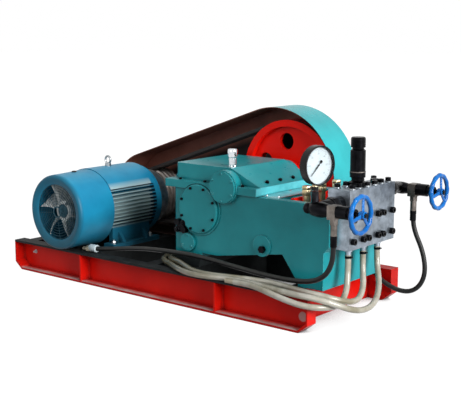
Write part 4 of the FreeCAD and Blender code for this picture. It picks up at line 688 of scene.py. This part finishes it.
def piece_from(name, shape, finish, slot, body="skid", angle=35):
    """Turns mesh code's result into a piece that rides on a body."""
    bmesh.ops.recalc_face_normals(shape, faces=shape.faces)
    mesh = bpy.data.meshes.new(name)
    shape.to_mesh(mesh)
    shape.free()
    for face in mesh.polygons:
        face.use_smooth = True
    mesh.set_sharp_from_angle(angle=math.radians(angle))
    mesh.materials.append(finish)
    piece = bpy.data.objects.new(name, mesh)
    bpy.context.scene.collection.objects.link(piece)
    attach(piece, body)
    print(name, len(mesh.polygons), "faces")
    return piece


def stack(name, parts, finish, slot, body="skid", around=24):
    """One piece from many ring stacks. A part is (place, direction, rings)."""
    shape = bmesh.new()
    for at, direction, rings in parts:
        loft(shape, at, direction, rings, around)
    return piece_from(name, shape, finish, slot, body)


def at_each(places, direction, rings, factor=1):
    """The same stack at many places, larger or smaller by a factor."""
    rings = [(radius * factor, height * factor, *sides) for radius, height, *sides in rings]
    return [(at, direction, rings) for at in places]


def hoop(inner, outer, low, high):
    """The rings of a flat hoop between two radii and two heights."""
    return [(inner, low), (outer, low), (outer, high), (inner, high), (inner, low)]


DARK, ZINC = (black_steel, "dark_steel"), (zinc_plate, "ground_steel")
BRASS, LACQUER = (turned_brass, "gland_brass"), (case_lacquer, "gauge_black")
MOTOR_BLUE, TEAL = (motor_paint, "motor_blue"), (cast_paint, "casting_teal")
SOCKET_SCREW = [(9, -2), (9, 10), (8, 11), (5, 11, 6), (4.6, 6, 6)]
HEX_SCREW = [(11, -1), (11, 1.5), (8.5, 1.6, 6), (8.5, 7, 6), (6.8, 8)]
print("socket screw", 2 * SOCKET_SCREW[1][0], "mm across")

# %% [markdown]
# ## Screws on the valve head
# Each cylinder is held by four socket screws in the front face and by two rows in the top.
# Their blackened heads stand proud of the ground steel, which is what the eye counts first.
# Behind them, a larger hexagon plug closes a valve chamber.

# %% Screws on the valve head
CYLINDERS = (-0.107, 0, 0.107)
FRONT_ROW = [(0.915, y) for y in (-0.127, -0.080, -0.021, 0.033, 0.084, 0.138)]
BACK_ROW = [(0.848, y) for y in (-0.128, -0.068, 0.046, 0.138)]
WASHER_THICK = 0.004

_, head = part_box("valve_head")
face_places = [(head.x, middle + side, level) for middle in CYLINDERS
               for side in (-0.0355, 0.0355) for level in (0.338, 0.424)]
seats = [(x, y, head.z) for x, y in FRONT_ROW + BACK_ROW]
tops = [(x, y, z + WASHER_THICK) for x, y, z in seats]
head_screws = at_each(face_places, AHEAD, SOCKET_SCREW, 1.4)
head_screws += at_each(tops, UP, SOCKET_SCREW, 1.28)
stack("head_screws", head_screws, *DARK)
washer = [(14, -1), (14, 4), (10, 4.4)]
stack("head_washers", at_each(seats, UP, washer), *ZINC)
plug = [(23, -1), (23, 2), (19, 2.2, 6), (19, 13, 6), (16, 15), (7, 15), (6, 11)]
stack("chamber_plugs", [((0.880, 0.092, head.z), UP, plug)], *DARK)

# %% [markdown]
# ## Bolts on the round covers
# The crank cover has eight socket screws on a circle of 93 mm radius. The pinion cover and the
# oil pump's small cover have hexagon screws, sprayed over with the casting.

# %% Bolts on the round covers
def bolt_circle(x, y, z, radius, count, start):
    """Places on a circle in a plane across Y, the first at a turn in degrees."""
    turns = [math.radians(start + 360 * step / count) for step in range(count)]
    return [(x + radius * math.cos(turn), y, z + radius * math.sin(turn)) for turn in turns]


crank_bolts = []
for y, way in ((-0.220, NEAR), (0.220, FAR)):
    crank_bolts += at_each(bolt_circle(0.210, y, 0.394, 0.093, 8, 22.5), way, SOCKET_SCREW, 0.62)
stack("crank_cover_screws", crank_bolts, *DARK)
cover_bolts = at_each(bolt_circle(0.352, -0.230, 0.501, 0.057, 6, 30), NEAR, HEX_SCREW, 0.55)
cover_bolts += at_each(bolt_circle(0.147, -0.214, 0.244, 0.030, 3, 90), NEAR, HEX_SCREW, 0.5)
stack("cover_bolts", cover_bolts, *TEAL)

# %% [markdown]
# ## Screws on the cover flange
# The crankcase cover is a lid, so screws go down through its flange: a row at the foot of the
# slope and along both sides. At the motor end they are studs with nuts, sprayed with the lid.

# %% Screws on the cover flange
FLANGE_TOP = 0.509
SLOPE_WAY = (0.409, 0, 0.913)

slope_row = [(0.494, y, 0.5200) for y in (-0.110, -0.020, 0.070, 0.150)]
side_rows = [(x, y, FLANGE_TOP) for x in (0.100, 0.238, 0.440) for y in (-0.202, 0.202)]
flange_screws = at_each(slope_row, SLOPE_WAY, SOCKET_SCREW, 0.85)
flange_screws += at_each(side_rows, UP, SOCKET_SCREW, 0.75)
stack("flange_screws", flange_screws, *DARK)
lid_nut = [(11, -1), (11, 2), (9, 2.1, 6), (9, 10, 6), (7.5, 11), (5, 11), (5, 15), (4, 16)]
stud_row = [(0.042, y, FLANGE_TOP) for y in (-0.150, -0.050, 0.050, 0.150)]
stack("lid_nuts", at_each(stud_row, UP, lid_nut), *TEAL)

# %% [markdown]
# ## Breather and sight glass
# The breather is a plated cap on a neck, pressed from sheet, so its corners are round. The oil
# level glass has a black elbow at each end, with a red sealing washer that shows between.

# %% Breather and sight glass
breather = [(17, 0, 6), (17, 6, 6), (15, 8), (16.5, 10), (16.5, 34), (14.5, 36), (14.5, 39),
            (19.5, 41), (21, 44), (21, 67), (20, 72), (17, 75), (10, 76)]
cap = [((0.346, -0.150, 0.578), UP, breather)]
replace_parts(stack("breather_cap", cap, chrome_plate, "bright_cap", around=32), "breather")
sight = [(0.111 + side * 0.018, -0.202, 0.310 + side * 0.0151) for side in (-1, 1)]
red_fibre = enamel("red_fibre_washer", "#b0543c", "#8f3f2b", "#c98a72", "#6e4a3e",
                   gloss=0.6, wear_and_highlight=0.1)
stack("sight_washers", at_each(sight, NEAR, hoop(13.2, 15.6, 1, 3.2)), red_fibre, "gland_brass")
elbow = [(14.2, 6), (14.2, 17), (12, 20), (9, 20.5, 6), (9, 27, 6), (7.5, 28)]
stack("sight_elbows", at_each(sight, NEAR, elbow), *DARK)

# %% [markdown]
# ## Cowl, grille and fan
# The fan's cowl is pressed sheet: a round shoulder, then a ring that dishes in to the air
# inlet. A welded grille of thin wire closes the inlet. The fan behind it is cast, six vanes
# that turn in pitch from their root, so that each shows a bright face.

# %% Cowl, grille and fan
def on_motor(y):
    """A place on the motor's axis."""
    return Vector((MOTOR_X, y, MOTOR_Z))


def motor_way(degrees):
    """A direction across the motor's axis, from its level line."""
    turn = math.radians(degrees)
    return Vector((math.cos(turn), 0, math.sin(turn)))


cowl_start = on_motor(-0.180)
cowl_wall = [(177, 0), (176.5, 20), (172, 120), (171, 182), (170, 192), (167, 198), (161, 202),
             (154, 202.5), (132, 194), (127, 192), (126, 189), (133, 191), (153, 199),
             (160, 198), (165, 193), (167, 182), (167, 0), (177, 0)]
cowl = stack("fan_cowl", [(cowl_start, NEAR, cowl_wall)], *MOTOR_BLUE, around=96)
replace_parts(cowl, "motor_fan_cover")

WIRES, SPOKES, WIRE = 9, 12, 1.4
grille = bmesh.new()
for step in range(WIRES):
    inner = 26 + 12 * step - WIRE / 2
    loft(grille, cowl_start, NEAR, hoop(inner, inner + WIRE, 190, 190 + WIRE), 64)
for step in range(SPOKES):
    way = motor_way(30 * step + 7)
    spoke = [on_motor(-0.3700) + way * reach for reach in (0.026, 0.128)]
    run_bar(grille, spoke, [(0.0009, 0.0009)] * 2, 6)
loft(grille, cowl_start, NEAR, hoop(21, 27, 190, 191.6), 32)
piece_from("inlet_grille", grille, grille_paint, "motor_blue")

VANES, ROWS, VANE_THICK = 6, 8, Vector((0, 0.004, 0))
fan = bmesh.new()
hub = [(46, 98), (48, 101), (48, 150), (44, 155), (33, 156), (31, 150), (27, 150), (26, 156),
       (24.5, 157)]
loft(fan, cowl_start, NEAR, hub, 48)
for vane in range(VANES):
    rows = []
    for row in range(ROWS + 1):
        out = row / ROWS
        reach, half = 0.044 + 0.092 * out, 6 + 11 * out
        front, back = [on_motor(-0.314 - side * 0.040)
                       + motor_way(100 + 60 * vane + side * half) * reach for side in (-1, 1)]
        edges = (front, back, back + VANE_THICK, front + VANE_THICK)
        rows.append([fan.verts.new(edge) for edge in edges])
    skin(fan, rows)
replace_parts(piece_from("cast_fan", fan, cast_aluminium, "fan_grey", "motor_rotor"), "motor_fan")
back_wall = [(on_motor(-0.204), FAR, hoop(24, 166.5, 0, 5))]
stack("fan_back_wall", back_wall, *MOTOR_BLUE, around=64)
hub_cap = [(31, 0), (31, 6), (26, 10), (12, 12), (12, 20, 6), (10, 22, 6)]
stack("fan_hub_cap", [(on_motor(-0.330), NEAR, hub_cap)], grille_paint, "fan_grey",
      "motor_rotor", around=40)

# %% [markdown]
# ## Small parts of the motor
# A rubber bung closes the grease hole on top of the cowl, and screws hold the cowl to the frame.
# Plated hexagon bolts with washers go through the feet. The terminal box on the far flank has
# four lid screws and a blanked cable entry.

# %% Small parts of the motor
bung = [(9, -2), (9, 1), (13, 1.5), (13, 4), (10, 8), (5, 9.5)]
stack("cowl_bung", [((MOTOR_X, -0.263, 0.4895), UP, bung)], *LACQUER)
cowl_screws = []
for way in [motor_way(degrees) for degrees in (38, 142, -30, 210)]:
    cowl_screws += at_each([on_motor(-0.196) + way * 0.1695], way, HEX_SCREW, 0.5)
stack("cowl_screws", cowl_screws, *ZINC)
foot_bolt = [(15, -0.5), (15, 2.5), (11.5, 2.6, 6), (11.5, 10, 6), (9.5, 11), (6, 11), (6, 15),
             (5, 16)]
feet = [(MOTOR_X + side, y, 0.160) for side in (-0.1395, 0.1395) for y in (-0.1545, 0.0865)]
stack("foot_bolts", at_each(feet, UP, foot_bolt), *ZINC)
low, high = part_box("terminal_box")
inset = 0.014
lid_corners = [(low.x, y, z) for y in (low.y + inset, high.y - inset)
               for z in (low.z + inset, high.z - inset)]
stack("box_screws", at_each(lid_corners, BACK, SOCKET_SCREW, 0.45), *ZINC)
entry = [(17, -1, 6), (17, 6, 6), (14, 7), (14, 14), (11, 16)]
under_box = (low.x + 0.034, (low.y + high.y) / 2, low.z + 0.006)
stack("cable_entry", [(under_box, DOWN, entry)], *LACQUER)

# %% [markdown]
# ## Handwheels
# The handwheels are cast iron, dipped in bright blue enamel. The rim has twelve finger grips,
# and three arms sweep back to a hub with a dark nut. A lumpy rim is a ring of cross-sections
# whose size follows a cosine, and the arms are flat bars that taper outward.

# %% Handwheels
GRIPS, ARMS, RIM_STEPS, ARM_STEPS = 12, 3, 120, 8


def wheel_way(turn):
    """A direction in the wheel's plane."""
    return Vector((0, math.cos(turn), math.sin(turn)))


def wheel_casting(name, solid, centre, body):
    """A lumpy rim, three arms and a hub, on a spindle along X."""
    shape = bmesh.new()
    rim = []
    for step in range(RIM_STEPS):
        turn = 2 * math.pi * step / RIM_STEPS
        wave = 0.5 + 0.5 * math.cos(GRIPS * turn)
        bar = 0.0084 + 0.0013 * wave
        way = wheel_way(turn)
        at = centre + way * (0.0670 + 0.0006 * wave)
        rim.append(oval(shape, at, way, AHEAD, bar, bar, 14))
    skin(shape, rim, closed=True)
    for arm in range(ARMS):
        way = wheel_way(math.radians(120 * arm + 77))
        loops = []
        for out in [step / ARM_STEPS for step in range(ARM_STEPS + 1)]:
            at = centre + way * (0.008 + 0.059 * out) + AHEAD * 0.008 * (1 - out) ** 1.6
            wide = 0.0085 - 0.002 * out
            loops.append(oval(shape, at, AHEAD.cross(way), AHEAD, wide, 0.0045, 12))
        skin(shape, loops)
    loft(shape, centre - AHEAD * 0.005, AHEAD, [(13, 0), (15, 2), (15, 22), (13.5, 24)])
    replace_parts(piece_from(name + "_casting", shape, wheel_paint, "wheel_blue", body), solid)
    spindle = [(9, -82), (9, -10), (7, -9), (7, 18), (10, 18.5, 6), (10, 22, 6), (8, 23),
               (4.5, 23), (4.5, 24)]
    stack(name + "_spindle", [(centre, AHEAD, spindle)], *DARK, body)


LEFT_WHEEL = Vector((1.058, -0.290, 0.478))
RIGHT_WHEEL = Vector((1.058, 0.300, 0.490))
wheel_casting("left_wheel", "left_handwheel", LEFT_WHEEL, "left_wheel")
wheel_casting("right_wheel", "right_handwheel", RIGHT_WHEEL, "right_wheel")

# %% [markdown]
# ## Valve forgings
# Each side valve grows out of an oily black forging: a round bar with a swell where the pipe
# from the head enters, and a union nut on that pipe. The left one carries the gauge's square
# tee. Lathe work is what made them, so they are stacks of rings. The relief valve beside them
# has a polished ring and a knurled grip.

# %% Valve forgings
HEAD_SIDE = 0.165
BAR = [(8, -24), (15, -22), (20, -17), (22, -10), (20, -3), (17.5, 1), (19, 5), (25, 10),
       (28.5, 26), (29.5, 42), (29.5, 56), (27, 70), (24, 84), (22, 90)]
PIPE = [(16, 0), (24, 12), (27, 24), (27, 52), (30, 55), (30, 60), (33, 62, 6), (35, 65, 6),
        (35, 92, 6), (33, 95, 6), (29, 97), (29, 126)]
TEE = [(17, 0), (17, 22), (18.5, 26, 4), (18.5, 64, 4), (17, 66, 4), (14, 66.5)]


def forging(name, solid, wheel, slim_bar, slim_pipe):
    """A bar along the wheel's axis and a pipe with its union nut from there to the head."""
    _, y, z = wheel
    shape = bmesh.new()
    bar = [(radius * slim_bar, height) for radius, height in BAR]
    loft(shape, (0.835, y, z), AHEAD, bar, 36)
    inner = (abs(y) - HEAD_SIDE) / MM
    pipe = [(radius * slim_pipe, min(height, inner), *sides) for radius, height, *sides in PIPE]
    loft(shape, (0.884, y, z + 0.006), FAR if y < 0 else NEAR, pipe, 36)
    if wheel is LEFT_WHEEL:
        loft(shape, (0.855, y, z), UP, TEE, 32)
    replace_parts(piece_from(name, shape, *DARK, angle=40), solid)


forging("left_forging", "left_adaptor", LEFT_WHEEL, 1, 1)
forging("right_forging", "right_adaptor", RIGHT_WHEEL, 0.86, 0.78)
nut = [(10.5, 0, 6), (14, 1.5, 6), (14, 12, 6), (12, 14), (10.3, 14.5), (10.3, 17)]
stack("gauge_nut", [((0.855, -0.290, 0.5525), UP, nut)], *BRASS)
relief_foot = (0.881, -0.036, 0.537)
polished = [(relief_foot, UP, hoop(30.4, 31.6, 55, 58.5))]
stack("relief_ring", polished, stained_steel, "ground_steel", around=48)
knurl = []
for level in (154, 160, 166, 172, 178):
    groove = [(28.3, level), (29.3, level + 1), (29.3, level + 3), (28.3, level + 4)]
    knurl.append((relief_foot, UP, groove + groove[:1]))
skirt = [(25.2, 34), (29.5, 34.5), (30.8, 36), (30.8, 54), (25.2, 54.5), (25.2, 34)]
knurl.append((relief_foot, UP, skirt))
stack("relief_knurl", knurl, *DARK, around=48)

# %% [markdown]
# ## Lids of the grease cups
# Each grease cup in the cradle is closed by a wide hexagon lid of brass, which a spanner turns.

# %% Lids of the grease cups
lid = [(16, -34), (19, -32, 6), (19.5, -31, 6), (19.5, -13, 6), (17, -11), (17, -9), (20, -8, 6),
       (20, 2, 6), (17, 4), (9, 4.5)]
cups = [(0.690, y, 0.523) for y in CYLINDERS]
stack("cup_lids", at_each(cups, UP, lid), *BRASS)

# %% [markdown]
# ## Sleeves, clamps and the tag
# Each pressure hose is crimped into a sleeve under its valve, and each suction hose is held on
# its stub by a worm clamp. A white shrink sleeve tags the left hose's free end.

# %% Sleeves, clamps and the tag
crimp = [(9.8, 40), (12.6, 40), (13.4, 36), (12.6, 32), (13.4, 28), (12.6, 24), (13.4, 20),
         (12.6, 16), (13.6, 10), (13.6, -2), (9.8, -2), (9.8, 40)]
nipples = [(0.9425, -0.290, 0.384), (0.9425, 0.300, 0.398)]
stack("crimped_sleeves", at_each(nipples, DOWN, crimp), *DARK, around=32)
worm = [(3, -5), (3, 4), (3.4, 4.2, 6), (3.4, 6, 6), (3, 6.4)]
clamps = []
for y in CYLINDERS:
    clamps.append(((0.890, y, 0.276), DOWN, hoop(12.2, 13.2, 4, 14)))
    clamps.append(((0.9055, y, 0.267), FAR, worm))
stack("worm_clamps", clamps, *DARK)
tag = [(10.6, 0), (16.2, 0), (16.8, 2), (16.8, 42), (16.2, 44), (10.6, 44), (10.6, 0)]
hose_way = (-1, 0.03, -0.02)
stack("shrink_tag", [((-0.332, -0.2908, 0.1605), hose_way, tag)], dial_enamel, "dial_white")

# %% [markdown]
# ## Dial of the gauge
# The dial has a scale of thin dark strokes over three quarters of a turn, with plain numbers.
# Real dials are printed, so strokes and numbers are one thin dark layer on the white plate. A
# rolled bezel holds the glass. The pointer is a long taper with a round counterweight.

# %% Dial of the gauge
DIAL = Vector((0.863, -0.290, 0.643))
DIAL_TURN = math.radians(11)
TOWARD = Vector((math.cos(DIAL_TURN), -math.sin(DIAL_TURN), 0))
RIGHT = Vector((-TOWARD.y, TOWARD.x, 0))
ZERO, STEPS, SWEEP = 225, 60, 270
PRINT_LIFT, RIM = 0.00675, 0.0595


def dial_way(degrees):
    """A direction on the dial, from the right."""
    turn = math.radians(degrees)
    return RIGHT * math.cos(turn) + UP * math.sin(turn)


def on_dial(degrees, reach, lift=PRINT_LIFT):
    """A place on the dial: a turn from the right, a radius and a height."""
    return DIAL + TOWARD * lift + dial_way(degrees) * reach


def print_patch(*corners):
    """One dark patch on the dial."""
    ink.faces.new([ink.verts.new(corner) for corner in corners])


ink = bmesh.new()
turns = [ZERO - SWEEP * step / STEPS for step in range(STEPS + 1)]
for step, turn in enumerate(turns):
    size = (0.0038, 0.0005)
    if step % 5 == 0:
        size = (0.0085, 0.0011) if step % 10 == 0 else (0.006, 0.0007)
    across = dial_way(turn + 90) * size[1] / 2
    inner, outer = on_dial(turn, RIM - size[0]), on_dial(turn, RIM)
    print_patch(inner - across, outer - across, outer + across, inner + across)
for first, second in zip(turns, turns[1:]):
    print_patch(on_dial(first, RIM - 0.0001), on_dial(second, RIM - 0.0001),
                on_dial(second, RIM + 0.0005), on_dial(first, RIM + 0.0005))
facing = Matrix((RIGHT, UP, TOWARD)).transposed().to_4x4()
for step in range(7):
    letters = bpy.data.curves.new("numeral", "FONT")
    letters.body = str(step * 10)
    letters.size = 0.0105
    letters.align_x = letters.align_y = "CENTER"
    holder = bpy.data.objects.new("numeral", letters)
    flat = bpy.data.meshes.new_from_object(holder)
    flat.transform(Matrix.Translation(on_dial(turns[10 * step], 0.0435)) @ facing)
    ink.from_mesh(flat)
    bpy.data.objects.remove(holder)
piece_from("dial_print", ink, printed_ink, "gauge_black")
bezel = [(70.6, 14), (70.8, 19), (71.8, 20.4), (73, 20.6), (74.6, 19.6), (75, 17), (75, 8),
         (74, 7), (71, 7), (70.6, 14)]
stack("gauge_bezel", [(DIAL, TOWARD, bezel)], *LACQUER, around=72)

pointer = bmesh.new()
taper = [(-0.0045, 0.0012), (0.010, 0.0027), (0.051, 0.0009), (0.054, 0.0)]
taper += [(reach, -half) for reach, half in reversed(taper[:-1])]
loops = [[pointer.verts.new(on_dial(ZERO, reach, lift) + dial_way(ZERO + 90) * half)
          for reach, half in taper] for lift in (0.0092, 0.0104)]
skin(pointer, loops)
tail = [on_dial(ZERO - 180, reach, 0.0098) for reach in (0.001, 0.018)]
run_bar(pointer, tail, [(0.0022, 0.0007)] * 2, 8)
weight = [(5.8, 0), (6.2, 0.5), (6.2, 1.4), (5.8, 1.8)]
loft(pointer, on_dial(ZERO - 180, 0.0185, 0.0090), TOWARD, weight)
loft(pointer, DIAL, TOWARD, [(2.6, 6.8), (3.2, 7.2), (3.2, 11.4), (2.4, 12)])
needle = piece_from("pointer", pointer, *LACQUER, "gauge_pointer")
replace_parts(needle, "gauge_needle")

# %% [markdown]
# ## Welds and the earth studs
# Stiffeners and end plates are welded in, and a weld is a row of overlapping ripples. A bead
# here is a thin bar whose thickness ripples every few millimetres, painted with the skid.

# %% Welds and the earth studs
BEAD, RIPPLE = 0.0032, 0.0022


def bead(shape, *ends):
    """A rippled weld bead between two points."""
    start, end = [Vector(at) for at in ends]
    count = max(4, int((end - start).length / RIPPLE))
    points = [start.lerp(end, step / count) for step in range(count + 1)]
    swells = [1 + 0.16 * math.sin(2 * math.pi * step / 3) + 0.2 * noise.noise(at * 60)
              for step, at in enumerate(points)]
    run_bar(shape, points, [(BEAD * swell, BEAD * swell) for swell in swells], 6)


welds = bmesh.new()
for side in (-1, 1):
    web = side * 0.2845
    for stiffener in (-0.400, 0.400):
        for x in (stiffener - 0.004, stiffener + 0.004):
            bead(welds, (x, web, 0.012), (x, web, 0.128))
    for x in (-0.853, 0.853):
        bead(welds, (x, web, 0.036), (x, web, 0.128))
        bead(welds, (x, side * 0.330, 0.1295), (x, side * 0.284, 0.1295))
piece_from("weld_beads", welds, skid_paint, "skid_red", angle=60)
stud = [(9, -1), (9, 1.5), (7, 1.6, 6), (7, 7, 6), (6, 7.6), (4, 7.6), (4, 14), (3, 15)]
studs = [((-0.768, -0.284, 0.086), NEAR, stud), ((-0.768, 0.284, 0.086), FAR, stud)]
stack("earth_studs", studs, *ZINC)

# %% [markdown]
# ## Screws of the splash plate
# Small plated screws hold the splash plate to the cradle along both of its edges.

# %% Screws of the splash plate
low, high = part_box("splash_plate")
splash_screws = [(x, y, high.z) for x in (low.x + 0.012, high.x - 0.012)
                 for y in (low.y + inset, 0, high.y - inset)]
stack("splash_screws", at_each(splash_screws, UP, HEX_SCREW, 0.5), *ZINC)
